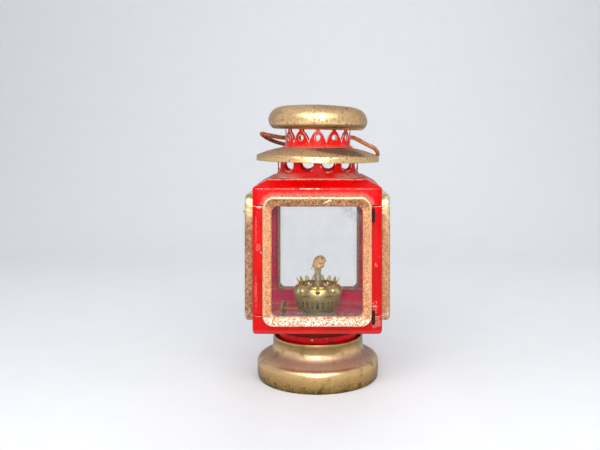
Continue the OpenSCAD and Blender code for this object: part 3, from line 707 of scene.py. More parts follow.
@dataclass(frozen=True)
class RedEnamel(Finish):
    """Glossy red enamel with chipped seams, pink worn places, settled dust, painted highlights and painted
    shade.
    """

    wear: Wear = Wear.POST
    seam_low: float = 73.5
    seam_high: float = 174.5
    tray_floor: float = 56.1
    post_foot: float = 59.8
    lining: float = 54.5
    eave: float = 189.6
    roof: float = 197.9
    vent_r: float = 40.0
    vent_hole_z: float = 210.8
    vent_hole_r: float = 6.85
    vent_holes: int = 12
    crown_r: float = 32.5
    crown_z: float = 226.98
    petals: int = 12
    petal_hole_up: float = 9.4
    petal_hole_r: float = 2.5
    notch_up: float = 6.6
    arch_h: float = 9.9

    def shade(self, s: Shader) -> None:
        """Red, brighter on the collars as painted light and darker where it turns away as painted shade, then
        what this piece's wear adds.

        Args:
            s: The finish's node tree.
        """
        depth = s.cloud(26, 61, 3)
        ring = self.wear in (Wear.VENT, Wear.CROWN)
        # The vent and crown collars get a brighter red: painted light.
        base = (tint(214, 5, 7), tint(236, 12, 12)) if ring else (tint(188, 3, 7), tint(210, 8, 10))
        colour = s.mix(depth.rise(0.35, 0.65), *base)
        haze = s.cloud(10, 62, 4, 0.6)
        crimson = s.mix(haze.rise(0.4, 0.6), tint(226, 4, 84), tint(196, 10, 88))
        flecks = s.specks(2.0, 0.04, 63)
        masks = self.worn(s)
        fine = s.cloud(1.1, 65, 4, 0.72)
        dust = masks.dust * (fine * 0.8 + 0.6)
        chips, seam = masks.chips, masks.seam
        colour = s.layers(
            colour,
            (haze.rise(0.5, 0.75) * 0.3, tint(164, 8, 14)),
            # Painted shade: darker red where the surface turns away from the eye, less on the collars.
            (s.grazing(0.4) * (0.3 if ring else 0.6), tint(96, 0, 4)),
            (self.indoors(s), crimson),
            (dust, s.mix(fine, tint(206, 120, 100), tint(232, 196, 176))),
            (chips * 0.9, s.mix(fine.rise(0.4, 0.6), tint(66, 22, 16), tint(132, 52, 38))),
            (masks.pale, tint(244, 224, 204)),
            (flecks * 0.4, tint(250, 170, 150)),
            # Near-black along the seams, and painted shade under the tray and at the top of the neck collar.
            (seam, tint(30, 6, 5)),
        )
        s.set(
            Base_Color=colour,
            Specular_IOR_Level=0.13,
            Coat_Weight=0.3 if self.wear is Wear.CROWN else 0.06,
            Coat_Roughness=0.1,
            Roughness=(0.3 + haze * 0.12 + dust * 0.5 + chips * 0.4 + seam * 0.4).least(0.95),
        )
        s.bump(s.cloud(5, 66, 2) * 0.3 + s.cloud(0.9, 67, 2) * 0.05 - chips * 0.5 - seam * 0.4, 0.35, 0.5)

    def ring_angle(self, s: Shader, count: int, offset: float) -> Val:
        """Angle from the nearest of a ring of holes.

        Args:
            s: The finish's node tree.
            count: How many holes there are.
            offset: Where one of them stands, in degrees.

        Returns:
            The angle in radians, without its sign.
        """
        turn = s.math("ARCTAN2", s.y, s.x) - math.radians(offset)
        pitch = 2 * math.pi / count
        return s.math("PINGPONG", turn + 40 * pitch, pitch / 2)

    def indoors(self, s: Shader) -> Term:
        """Finds the faces round the flame, where the red has turned to crimson.

        Args:
            s: The finish's node tree.

        Returns:
            Their mask.
        """
        if self.wear not in (Wear.POST, Wear.TRAY, Wear.ROOF):
            return 0.0
        outward = s.rounded(abs(s.x), abs(s.y), self.lining, self.lining)
        floor = self.post_foot if self.wear is Wear.TRAY else self.tray_floor
        ceiling = s.z.rise(self.eave + 0.4, self.eave - 1.6)
        inner = outward.rise(5.2, 4.9) * s.z.rise(floor, floor + 0.3) * ceiling
        if self.wear is Wear.TRAY:
            inner = inner.most(s.upward(0.3, 0.6))
        return inner * 0.85

    def worn(self, s: Shader) -> WearMasks:
        """Finds what this piece's wear adds, painted highlights and painted shade among it.

        Args:
            s: The finish's node tree.

        Returns:
            The wear's masks.
        """
        rag = s.cloud(2.2, 71, 4, 0.7)
        if self.wear is Wear.VENT:
            return self.vent_wear(s, rag)
        if self.wear is Wear.CROWN:
            return self.crown_wear(s, rag)
        if self.wear is Wear.NECK:
            scratch = s.spot((12.8, -38, 42.6), (3.2, 4, 1.5), 0.5, 88)
            # Painted shade: near-black at the top of the neck collar, under the tray.
            return WearMasks(chips=scratch, seam=s.z.rise(46, 48) * 0.75)
        low, high = s.z - self.seam_low, s.z - self.seam_high
        jagged = (rag - 0.5) * 1.6
        seam = (low + jagged * 0.4).near(0.1, 0.3, 0.3).most((high + jagged * 0.4).near(-0.1, 0.3, 0.3))
        seam = seam * abs(s.x).most(abs(s.y)).rise(59.3, 59.7)
        line = (low + jagged).near(-0.9, 0.12, 0.35) * rag.rise(0.42, 0.56)
        line = line.most((high + jagged).near(-1.0, 0.12, 0.35) * rag.rise(0.42, 0.56)) * 0.7
        body_wear = {Wear.POST: self.post_wear, Wear.TRAY: self.tray_wear, Wear.ROOF: self.roof_wear}
        return body_wear[self.wear](s, rag, line, seam)

    def post_wear(self, s: Shader, rag: Val, line: Val, seam: Val) -> WearMasks:
        """Rubbed patches and painted highlight streaks down the front posts, and a scar at the right one's
        foot.

        Args:
            s: The finish's node tree.
            rag: Noise that breaks edges up.
            line: Bare lines beside the seams.
            seam: The seams themselves.

        Returns:
            The wear's masks.
        """
        rubbed: Term = 0.0
        # Pale pink patches on the posts' round corners: rubbed paint, and the tall thin streaks down the left
        # post, at z 152 and z 96, are a painted highlight.
        for centre, radii, ragged, seed, strength in (
            ((-54.3, FRONT_Y, 135.8), (2.4, 6, 3.4), 0.6, 73, 0.34),
            ((-56.2, FRONT_Y, 152), (0.9, 6, 13), 0.8, 74, 0.26),
            ((53.9, FRONT_Y, 119.8), (1.5, 6, 1.6), 0.6, 75, 0.4),
            ((-56.5, FRONT_Y, 96), (1.4, 6, 16), 0.9, 68, 0.2),
        ):
            rubbed = (s.spot(centre, radii, ragged, seed) * strength).most(rubbed)
        rubbed = rubbed * rag.rise(0.34, 0.62)
        cream = s.spot((-53.2, FRONT_Y, 173), (2.5, 6, 1.2), 0.4, 89) * 0.6
        scar = s.spot((52.8, FRONT_Y, 80.5), (2.4, 5, 6.5), 0.7, 76)
        chips = (scar * rag.rise(0.5, 0.58)).most(s.specks(2.2, 0.05, 77) * 0.7)
        rubbed = rubbed.most(scar * rag.rise(0.55, 0.4) * 0.75)
        return WearMasks(rubbed, chips, line.most(cream * 0.85), seam)

    def tray_wear(self, s: Shader, rag: Val, line: Val, seam: Val) -> WearMasks:
        """Dust on the tray's underside, a worn patch at its right, and painted shade under it.

        Args:
            s: The finish's node tree.
            rag: Noise that breaks edges up.
            line: Bare lines beside the seams.
            seam: The seams themselves.

        Returns:
            The wear's masks.
        """
        inside = self.indoors(s)
        under = s.z.rise(60.5, 58.5) * 0.15 + inside * s.z.rise(62, 58) * 0.45
        patch = s.spot((53.5, FRONT_Y, 67), (5, 9, 5.5), 0.9, 78)
        chips = (patch * rag.rise(0.54, 0.62)).most(s.specks(2.6, 0.06, 79) * 0.7)
        # Painted shade: near-black on the tray's underside.
        dark = s.z.rise(55.2, 54.6) * (1 - inside) * 0.7
        return WearMasks((under * rag).most(patch * 0.3), chips, line, seam.most(dark))

    def roof_wear(self, s: Shader, rag: Val, line: Val, seam: Val) -> WearMasks:
        """Dust on the flat, a halo round each window, rubbed folds, and a painted highlight along the eave.

        Args:
            s: The finish's node tree.
            rag: Noise that breaks edges up.
            line: Bare lines beside the seams.
            seam: The seams themselves.

        Returns:
            The wear's masks.
        """
        from_axis = (s.x * s.x + s.y * s.y) ** 0.5
        dust = s.z.rise(self.roof - 1.2, self.roof - 0.3) * (from_axis.rise(56, 44) * 0.5 + 0.2)
        face = abs(s.x).most(abs(s.y)).rise(58.5, 59.5)
        away = WINDOW.outward(s, abs(s.x).least(abs(s.y))) + (s.cloud(3, 80) - 0.5) * 3
        halo = away.rise(4.5, 0.3) * face * 0.42
        # Painted highlight: a thin pale line along the eave, strongest just left of the middle and near the
        # left corner.
        eave = s.z.near(self.eave, 0.12, 0.4) * s.cloud(5, 90).rise(0.4, 0.6) * face
        eave = eave * (abs(s.x + 10.5).rise(14, 11).most(abs(s.x + 51).rise(4, 3)) * 0.75 + 0.25)
        fold = s.z.near(self.roof - 0.6, 0.15, 0.35) * 0.4
        hip = abs(abs(s.x) - abs(s.y)).rise(1.0, 0.3) * 0.4
        hip = hip * s.z.rise(190.5, 191.5) * s.z.rise(self.roof, self.roof - 0.7)
        folds = (fold + hip) * s.cloud(4, 58).rise(0.4, 0.55)
        chips = s.specks(2.4, 0.05, 81) * 0.7
        return WearMasks(dust.most(halo * rag.rise(0.25, 0.6)), chips, eave.most(line).most(folds), seam)

    def vent_wear(self, s: Shader, rag: Val) -> WearMasks:
        """Dust at the vent collar's foot and bare metal round its holes.

        Args:
            s: The finish's node tree.
            rag: Noise that breaks edges up.

        Returns:
            The wear's masks.
        """
        off = self.ring_angle(s, self.vent_holes, 15) * self.vent_r
        rise = s.z - self.vent_hole_z
        edge = (off * off + rise * rise) ** 0.5 - self.vent_hole_r
        bare = (edge + (rag - 0.5) * 1.4).rise(1.0, 0.5) * s.cloud(6, 82).rise(0.46, 0.6)
        sides = abs(s.x).rise(12, 32) * 0.8 + 0.15
        dust = s.z.rise(self.roof + 6, self.roof + 1.5) * s.cloud(8, 83, 4, 0.6).rise(0.25, 0.55) * sides
        return WearMasks(dust, s.specks(2.8, 0.1, 84), bare * 0.85)

    def crown_wear(self, s: Shader, rag: Val) -> WearMasks:
        """Dust on the crown collar and bare metal along its petals' edges.

        Args:
            s: The finish's node tree.
            rag: Noise that breaks edges up.

        Returns:
            The wear's masks.
        """
        off = self.ring_angle(s, self.petals, 0) * self.crown_r
        rise = s.z - self.crown_z
        up = rise - self.petal_hole_up
        hole = (off * off + up * up) ** 0.5 - self.petal_hole_r
        half = math.pi * self.crown_r / self.petals
        left = (1 - (rise - self.notch_up) / self.arch_h).most(0.073)
        gap = (1 - left ** 0.5) * half + 0.3
        edge = hole.least(self.ring_angle(s, self.petals, 15) * self.crown_r - gap)
        bare = (edge + (rag - 0.5) * 1.2).rise(0.75, 0.35) * s.cloud(5, 85).rise(0.34, 0.5)
        dust = s.cloud(6, 86, 4, 0.6).rise(0.5, 0.72) * 0.25
        dust = dust + s.z.rise(self.crown_z + 3, self.crown_z) * 0.2
        return WearMasks(dust, s.specks(2.4, 0.14, 87), bare * 0.8)


@dataclass(frozen=True)
class DustyGlass(Finish):
    """Window glass with a film of dust, specks and a smear in a corner."""

    wall: Wall = Wall.FRONT
    film: float = 0.008

    def shade(self, s: Shader) -> None:
        """Sets how much dust covers the clear pane.

        Args:
            s: The finish's node tree.
        """
        rim = abs(self.wall.along(s)).rise(36, 42).most(abs(s.z - WINDOW.mid_z).rise(44, 51))
        film = s.cloud(24, 91, 4, 0.6).rise(0.35, 0.8) * 0.035 + self.film + rim * 0.03
        specks = s.specks(1.3, 0.06, 92).most(s.specks(2.4, 0.025, 93)) * 0.3
        amount = film + specks
        if self.wall is Wall.FRONT:
            rag = s.cloud(3.5, 94, 5, 0.7)
            bow = ((s.x - 16) ** 2 + (s.z - 148) ** 2) ** 0.5
            smear = bow.near(24, 2, 5) * s.x.rise(20, 28) * s.z.rise(156, 166) * rag.rise(0.4, 0.62)
            foot = s.z.rise(80, 74) * s.cloud(5, 95, 4, 0.7).rise(0.4, 0.62) * 0.2
            amount = amount + smear * 0.4 + foot
        fresnel = Val(s, s.node("ShaderNodeFresnel", None, {"IOR": 1.45}).outputs[0])
        s.set(
            Base_Color=s.mix(specks, tint(150, 158, 160), tint(232, 230, 222)),
            Roughness=0.08,
            Specular_IOR_Level=0.5,
            Alpha=(amount + fresnel * 0.3).least(0.96),
        )
        s.material.surface_render_method = "BLENDED"


@dataclass(frozen=True)
class Cotton(Finish):
    """Cream cotton, scorched at its torn ends."""

    def shade(self, s: Shader) -> None:
        """Cream, with painted shade in its creases, brown specks and scorched patches.

        Args:
            s: The finish's node tree.
        """
        crease = s.cloud(1.6, 101, 4, 0.7)
        burnt = s.cloud(2.8, 102, 3).rise(0.54, 0.7)
        colour = s.layers(
            tint(236, 208, 156),
            # Painted shade: darker brown in the hollows of the bump.
            (crease.rise(0.56, 0.42) * 0.85, tint(146, 106, 68)),
            (s.specks(1.3, 0.3, 103) * 0.6, tint(110, 76, 50)),
            (burnt * 0.55, tint(150, 104, 70)),
            (s.z.rise(107, 103.5) * 0.4, tint(150, 134, 108)),
        )
        s.set(Base_Color=colour, Roughness=0.9, Specular_IOR_Level=0.2)
        s.bump(crease, 0.5, 0.8)


@dataclass(frozen=True)
class DullTin(Finish):
    """Dull grey tinned steel, dusty."""

    grime: float = 0.4
    tone: tuple[int, int, int] = (186, 178, 158)

    def shade(self, s: Shader) -> None:
        """Its own tone with darker dirt.

        Args:
            s: The finish's node tree.
        """
        cloud = s.cloud(2.6, 111, 4, 0.65)
        red, green, blue = self.tone
        colour = s.layers(
            tint(red, green, blue),
            (cloud.rise(0.4, 0.65) * self.grime, tint(red * 2 // 3, green * 2 // 3, blue // 2)),
            (s.specks(1.3, 0.2, 112) * 0.6, tint(80, 62, 46)),
        )
        s.set(Base_Color=colour, Metallic=0.65, Roughness=0.4 + cloud * 0.2)
        s.bump(cloud, 0.2, 0.6)


@dataclass(frozen=True)
class RustyWire(Finish):
    """Round wire with an even brown-orange rust."""

    def shade(self, s: Shader) -> None:
        """Copper-brown, darker on the left, with dark and sandy grains.

        Args:
            s: The finish's node tree.
        """
        cloud = s.cloud(4, 121, 4, 0.68) - s.x.rise(10, -30) * 0.24
        _, grain = s.grains(0.8, 122)
        colour = s.ramp(
            cloud * 0.7 + grain * 0.3,
            (0.10, tint(74, 38, 28)),
            (0.28, tint(132, 72, 54)),
            (0.50, tint(184, 116, 76)),
            (0.75, tint(218, 160, 110)),
        )
        s.set(Base_Color=colour, Metallic=0.0, Roughness=0.78, Specular_IOR_Level=0.1)
        s.bump(cloud * 0.6 + grain * 0.4, 0.3, 0.8)


@dataclass(frozen=True)
class StudioPaper(Finish):
    """Plain pale paper that the lamp stands on."""

    def shade(self, s: Shader) -> None:
        """Faint mottling on a pale ground.

        Args:
            s: The finish's node tree.
        """
        s.set(Base_Color=s.mix(s.cloud(40, 131), tint(226, 227, 230), tint(231, 232, 234)), Roughness=0.9)


# ---------------------------------------------------------------- mesh tools


def arc(cx: float, cy: float, r: float, start: float, end: float, steps: int = 14) -> Outline:
    """Points along an arc, both ends included; the angles are in degrees."""
    turns = [math.radians(start + (end - start) * i / steps) for i in range(steps + 1)]
    return [(cx + r * math.cos(t), cy + r * math.sin(t)) for t in turns]


def inset(path: Outline, depth: float) -> Outline:
    """Moves a path to its left, so that a sheet lies between the two.

    Args:
        path: The sheet's outer face.
        depth: How thick the sheet is.

    Returns:
        Its inner face, in the same order.
    """
    moved = []
    for i, (x, y) in enumerate(path):
        ax, ay = path[max(i - 1, 0)]
        bx, by = path[min(i + 1, len(path) - 1)]
        run = math.hypot(bx - ax, by - ay) or 1.0
        moved.append((x - depth * (by - ay) / run, y + depth * (bx - ax) / run))
    return moved


def spin(outline: Outline, segments: int, closed: bool = True) -> bmesh.types.BMesh:
    """Turns an outline of radius and height about the upright axis.

    Args:
        outline: Radius and height in millimetres; radius 0 makes a pole.
        segments: Steps round the axis.
        closed: Whether the last point joins the first.

    Returns:
        The mesh, in metres.
    """
    bm = bmesh.new()
    turns = [2 * math.pi * k / segments for k in range(segments)]
    rings = []
    for r, z in outline:
        ring = turns if r > 0 else turns[:1]
        rings.append([bm.verts.new((r * MM * math.cos(a), r * MM * math.sin(a), z * MM)) for a in ring])
    pairs = list(zip(rings, rings[1:])) + ([(rings[-1], rings[0])] if closed else [])
    for low, high in pairs:
        if len(low) == 1 and len(high) == 1:
            continue
        for k in range(segments):
            corners = [ring[i % len(ring)] for ring, i in ((low, k), (low, k + 1), (high, k + 1), (high, k))]
            bm.faces.new(list(dict.fromkeys(corners)))
    return bm


def sweep(
    bm: bmesh.types.BMesh, line: Sequence[Vector], radius: Callable[[float], float], sides: int = 12
) -> None:
    """Adds a round bar along a line to a mesh.

    Args:
        bm: The mesh that it is added to.
        line: Middle points in millimetres.
        radius: Radius in millimetres at a share of the length.
        sides: Steps round the bar.
    """
    rings = []
    side = Vector((0.02, 0.03, 1.0))
    for i, point in enumerate(line):
        ahead = (line[min(i + 1, len(line) - 1)] - line[max(i - 1, 0)]).normalized()
        side = (side - ahead * side.dot(ahead)).normalized()
        other = ahead.cross(side)
        r = radius(i / (len(line) - 1))
        rings.append(
            [
                bm.verts.new((point + r * (math.cos(a) * side + math.sin(a) * other)) * MM)
                for a in (2 * math.pi * k / sides for k in range(sides))
            ]
        )
    for low, high in zip(rings, rings[1:]):
        for k in range(sides):
            bm.faces.new((low[k], low[(k + 1) % sides], high[(k + 1) % sides], high[k]))
    bm.faces.new(list(reversed(rings[0])))
    bm.faces.new(rings[-1])


def warp(bm: bmesh.types.BMesh, change: Callable[[Vector], Vector]) -> None:
    """Moves every point by a rule that works in millimetres."""
    for vert in bm.verts:
        vert.co = change(vert.co / MM) * MM


def ripple(point: Vector, size: float, seed: float) -> float:
    """Smooth noise from -1 to 1 at a point, with bumps about size millimetres wide."""
    return noise.noise(point / size + Vector((seed, seed * 1.7, seed * 0.6)))


def curve_through(points: Sequence[Sequence[float]], steps: int) -> list[Vector]:
    """Draws a smooth line through points.

    Args:
        points: What it passes through.
        steps: How many steps it takes between two of them.

    Returns:
        The line's points.
    """
    line = []
    last = len(points) - 1
    knots = [Vector(p) for p in points]
    for i in range(last):
        a, b, c, d = knots[max(i - 1, 0)], knots[i], knots[i + 1], knots[min(i + 2, last)]
        square, cube = 2 * a - 5 * b + 4 * c - d, 3 * b - a - 3 * c + d
        for k in range(steps):
            t = k / steps
            line.append(0.5 * (2 * b + (c - a) * t + square * t * t + cube * t ** 3))
    return line + [knots[-1]]


def set_on_wall(bm: bmesh.types.BMesh, r: float, z: float, angle: float, lean: float) -> None:
    """Stands a small spun mesh on a round wall, with its axis outwards.

    Args:
        bm: The mesh.
        r: The wall's radius in millimetres.
        z: Its height there in millimetres.
        angle: Where on the wall, in degrees.
        lean: How far the axis turns from upright, in degrees.
    """
    place = Matrix.Translation(Vector((r, 0, z)) * MM) @ Matrix.Rotation(math.radians(lean), 4, "Y")
    turn = Matrix.Rotation(math.radians(angle), 4, "Z")
    bmesh.ops.transform(bm, matrix=turn @ place, verts=bm.verts)


@dataclass
class Maker:
    """Turns meshes into pieces that ride on the lamp's bodies."""

    made: list[str] = field(default_factory=list)

    def piece(
        self, bm: bmesh.types.BMesh, name: str, body: str, finish: Finish,
        instead_of: Sequence[str] = (), sharp: float = 40.0,
    ) -> bpy.types.Object:
        """Makes one piece.

        Args:
            bm: Its mesh, which is used up.
            name: Its name.
            body: The body that it rides on.
            finish: Its finish.
            instead_of: Solids that it stands for.
            sharp: Angle in degrees above which an edge stays sharp.

        Returns:
            The new object.
        """
        bmesh.ops.recalc_face_normals(bm, faces=bm.faces)
        mesh = bpy.data.meshes.new(name)
        bm.to_mesh(mesh)
        bm.free()
        mesh.shade_smooth()
        mesh.set_sharp_from_angle(angle=math.radians(sharp))
        mesh.materials.append(finish.material())
        obj = bpy.data.objects.new(name, mesh)
        bpy.context.scene.collection.objects.link(obj)
        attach(obj, body)
        if instead_of:
            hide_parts(*instead_of)
        self.made.append(name)
        LOG.info("piece %s: %d faces on %s", name, len(mesh.polygons), body)
        return obj

    def dress(self, finish: Finish, *nodes: str) -> None:
        """Gives a finish to solids that are shown as they are.

        Args:
            finish: The finish.
            nodes: The solids' names.
        """
        for name in nodes:
            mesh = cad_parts[name].data
            mesh.materials.clear()
            mesh.materials.append(finish.material())
            for face in mesh.polygons:
                face.material_index = 0
            LOG.info("solid %s: %s", name, finish.name)


# ---------------------------------------------------------------- sub-assemblies


@dataclass
class Fount:
    """Brass fount with its rolled rim."""

    r: float = 60.0
    top: float = 41.5
    side: float = 15.3
    crest: float = 6.0
    neck: float = 44.5
    bead: float = 0.95
    sheet: float = 0.8
    slope: float = 30.0
    steps: int = 220
    foot: tuple[tuple[float, float], ...] = ((1.6, 0.0), (1.25, 0.35), (0.9, 0.9), (0.5, 3.2), (0.15, 5.7))
    knocks: tuple[tuple[float, ...], ...] = (
        (-137, 20.5, 5.0, 0.5), (-60, 21.0, 7.0, 0.25), (-112, 19.0, 9.0, 0.2),
    )

    def outline(self) -> Outline:
        """Draws the section of the spun wall.

        Returns:
            Its outline, outside first.
        """
        turn = math.radians(self.slope)
        x = self.r - self.crest + self.crest * math.sin(turn)
        z = self.side + self.crest * math.cos(turn)
        cove = (x - self.neck) / (math.cos(turn) + math.sin(turn))
        across, up = cove * math.cos(turn), cove * math.sin(turn)
        cove_x, cove_z = x - across + up, z + up + across
        outside = (
            [(self.r - back, height) for back, height in self.foot]
            + [(self.r, 7.5), (self.r, 10.0)]
            + arc(self.r - self.crest, self.side, self.crest, 0, 90 - self.slope, 18)
            + [(x - 0.5 * across, z + 0.5 * up)]
            + arc(cove_x, cove_z, cove, 270 - self.slope, 180, 22)
            + [(self.neck, self.top - 3.2), (self.neck, self.top - 2 * self.bead)]
        )
        rim = arc(self.neck - self.bead, self.top - self.bead, self.bead, -20, 250, 16)
        return outside + rim + [(r - self.sheet, zz) for r, zz in reversed(outside) if zz < self.top - 2]

    def dented(self, point: Vector) -> Vector:
        """Knocks the crest in and makes the wall slightly uneven.

        Args:
            point: A point of the round wall.

        Returns:
            Where it ends up.
        """
        flat = Vector((point.x, point.y, 0))
        push = 0.10 * ripple(point, 22, 3.1) + 0.05 * ripple(point, 7, 8.2)
        for angle, height, width, depth in self.knocks:
            turn, out = math.radians(angle), self.r - 2
            middle = Vector((out * math.cos(turn), out * math.sin(turn), height))
            push -= depth * math.exp(-((point - middle).length / width) ** 2)
        return point + flat.normalized() * push * min(1.0, max(0.0, point.z) / 3)

    def build(self, maker: Maker) -> None:
        """Makes the skin and dresses the hidden pieces.

        Args:
            maker: Makes and dresses the pieces.
        """
        bm = spin(self.outline(), self.steps)
        warp(bm, self.dented)
        maker.piece(bm, "fount_skin", "fount", FountBrass("fount_brass_skin", "fount_brass"), ["fount_shell"])
        maker.dress(FountBrass("fount_brass_inner", "fount_brass"), "fount_base", "fount_dome")


@dataclass
class Burner:
    """Flat-topped burner with its gallery, tube and drive."""

    gallery_z: float = 82.8
    wall_lean: float = 17.0
    boss_r: float = 3.1
    boss_up: float = 4.1
    boss_out: float = 23.62
    boss_shape: tuple[tuple[float, float], ...] = (
        (0, 1.0), (0.45, 0.86), (0.72, 0.5), (0.84, 0.16), (0.92, 0.34), (1, 0.3), (1.08, 0.0),
        (0.9, -0.5), (0, -0.5),
    )

    def boss(self, angle: float) -> bmesh.types.BMesh:
        """Makes a domed boss pressed outwards in the gallery's wall.

        Args:
            angle: Where it stands, in degrees.

        Returns:
            Its mesh.
        """
        bm = spin([(self.boss_r * share, up) for share, up in self.boss_shape], 40, closed=False)
        set_on_wall(bm, self.boss_out, self.gallery_z + self.boss_up, angle, 90 - self.wall_lean)
        return bm

    def build(self, maker: Maker) -> None:
        """Dresses the burner and adds its pressed bosses.

        Args:
            maker: Makes and dresses the pieces.
        """
        # Lit and shaded copies of one brass: the cone, base, collar, knob and wheel are painted darker as
        # shade, and the spindle a little lighter.
        bright = BurnerBrass("burner_brass_bright", "burner_brass")
        painted_shade = BurnerBrass("burner_brass_dim", "burner_brass", 0.25)
        maker.dress(bright, "burner_gallery", "burner_basket")
        maker.dress(painted_shade, "burner_cone", "burner_base", "screw_collar")
        maker.dress(DullTin("tin_tube", "tinned_steel", 0.5), "wick_tube")
        maker.dress(BurnerBrass("knob_brass", "burner_brass", 0.35), "wick_knob", "wick_wheel")
        maker.dress(BurnerBrass("spindle_brass", "burner_brass", -0.1), "wick_spindle")
        for angle in (-135, -45, 45, 135):
            maker.piece(self.boss(angle), f"gallery_boss_{angle % 360}", "fount", bright)


@dataclass
class Wick:
    """Cotton wick with its torn and burnt head."""

    foot: float = 30.0
    r: float = 2.45
    tube_top: float = 100.9
    neck: float = 3.2
    head: float = 6.0
    top: float = 117.9

    def frayed(self, point: Vector) -> Vector:
        """Squares the head, lumps it and leans it a little.

        Args:
            point: A point of the round wick.

        Returns:
            Where it ends up.
        """
        up = min(1.0, max(0.0, (point.z - self.tube_top - 3) / (self.top - self.tube_top - 3)))
        flat = Vector((point.x, point.y, 0.25 * (point.z - 112)))
        lump = 1.2 * ripple(point, 5.0, 5.5) + 1.3 * ripple(point, 2.3, 2.3) + 0.5 * ripple(point, 1.0, 7.9)
        lump += 0.8 * math.exp(-((point.x - 5) / 3) ** 2 - ((point.z - 114.5) / 1.8) ** 2)
        lump -= 1.4 * math.exp(-((point.x - 4.5) / 3) ** 2 - ((point.z - 110.5) / 1.5) ** 2)
        moved = point + (flat.normalized() if flat.length > 0.1 else Vector()) * lump * min(1.0, up * 3)
        return moved + Vector((2.6 * up, 0, 0))

    def build(self, maker: Maker) -> None:
        """Makes the head, its folds and its loose threads.

        Args:
            maker: Makes and dresses the pieces.
        """
        z, neck, head = self.tube_top, self.neck, self.head
        outline = (
            [(0, self.foot), (self.r, self.foot), (self.r, z + 0.25), (neck, z + 0.8), (neck + 0.1, z + 2.2)]
            + [(neck + 0.1, z + 4.4), (neck + 0.9, z + 5.4), (head - 0.9, z + 6.2), (head - 0.3, z + 8)]
            + [(head, z + 10), (head + 0.1, z + 12), (head - 0.3, z + 13.8), (head - 1.2, z + 15.2)]
            + [(head - 2.6, z + 16.2), (1.6, z + 16.7), (0, z + 16.8)]
        )
        fine = []
        for (r0, z0), (r1, z1) in zip(outline, outline[1:]):
            steps = max(1, round(math.hypot(r1 - r0, z1 - z0) / 0.6)) if z0 > z else 1
            fine += [(r0 + (r1 - r0) * k / steps, z0 + (z1 - z0) * k / steps) for k in range(steps)]
        bm = spin(fine + [outline[-1]], 96, closed=False)
        threads = (
            ([(-2.0, -3, 108.4), (-4.4, -3.6, 108.0), (-5.8, -3.4, 106.6), (-7.2, -3.2, 105.6)], 1.1),
            ([(-2.4, -3, 109.6), (-4.8, -2.8, 109.8), (-6.2, -2.4, 108.4)], 0.9),
            ([(-1.6, -4, 107.2), (-3.2, -4.6, 106.2), (-4.2, -4.4, 104.6)], 0.8),
            ([(5.4, -2, 115.6), (7.4, -2.6, 114.8), (8.4, -2.8, 113.0)], 1.1),
            ([(-2.6, -4, 104.8), (-0.4, -4.6, 105.7), (2.4, -4.2, 105.2)], 0.7),
            ([(-2, 3, 110), (-4.4, 4.2, 111), (-5.0, 4.6, 109)], 0.45),
            ([(0, -4.6, 110.6), (2.0, -5.2, 109.4), (3.6, -4.2, 107.6)], 0.6),
        )
        warp(bm, self.frayed)
        for points, thick in threads:
            line = curve_through(points, 6)
            sweep(bm, line, lambda t, thick=thick: thick * (1 - 0.75 * t), 9)
        maker.piece(bm, "wick_cotton", "wick", Cotton("wick_cotton", "cotton"), ["wick"], 75)


@dataclass
class Body:
    """Red square body: neck, pressings, posts and its rivet."""

    collar_r: float = 40.0
    rivet_z: float = 44.9
    rivet_angle: float = -97.3

    def rivet(self) -> bmesh.types.BMesh:
        """Makes a small flat-headed rivet in the neck collar.

        Returns:
            Its mesh.
        """
        bm = spin([(0, 0.55), (0.55, 0.5), (0.95, 0.28), (1.1, -0.3), (0, -0.3)], 28, closed=False)
        set_on_wall(bm, self.collar_r, self.rivet_z, self.rivet_angle, 90)
        return bm

    def build(self, maker: Maker) -> None:
        """Dresses the body and adds the rivet.

        Args:
            maker: Makes and dresses the pieces.
        """
        for wear, nodes in {
            Wear.POST: ("post_front_left", "post_front_right", "post_rear_left", "post_rear_right"),
            Wear.TRAY: ("lower_pressing",),
            Wear.ROOF: ("upper_pressing",),
            Wear.NECK: ("neck_collar",),
        }.items():
            maker.dress(RedEnamel(f"red_enamel_{wear.value}", "red_enamel", wear), *nodes)
        maker.piece(self.rivet(), "collar_rivet", "lantern", DullTin("tin_rivet", "tinned_steel", 0.2))


@dataclass
class Windows:
    """Three fixed windows, the door and its fittings."""

    def build(self, maker: Maker) -> None:
        """Dresses frames, panes, rings, hinges and catch.

        Args:
            maker: Makes and dresses the pieces.
        """
        ring = RingBrass("ring_brass_worn", "ring_brass")
        for wall, frame_node, pane, ring_node, plate in (
            (Wall.FRONT, "door_frame", "door_glass", "door_ring", 0.0),
            (Wall.LEFT, "frame_left", "glass_left", "ring_left", 1.0),
            (Wall.RIGHT, "frame_right", "glass_right", "ring_right", 1.0),
            (Wall.REAR, "frame_rear", "glass_rear", "ring_rear", 0.4),
        ):
            side = wall.name.lower()
            maker.dress(RustedFrame(f"rusted_{side}", "rusted_frame", wall, plate_left=plate), frame_node)
            maker.dress(DustyGlass(f"glass_{side}", "window_glass", wall), pane)
            maker.dress(ring, ring_node)
        # Painted shade: the hinges get a near-black red, dark as the shaded gap beside the door.
        hinge_in_shade = DullTin("tin_hinge", "tinned_steel", 0.9, (70, 20, 16))
        maker.dress(hinge_in_shade, "hinge_leaves", "hinge_pins", "door_barrels")
        maker.dress(DullTin("tin_catch", "tinned_steel", 0.3), "door_catch")


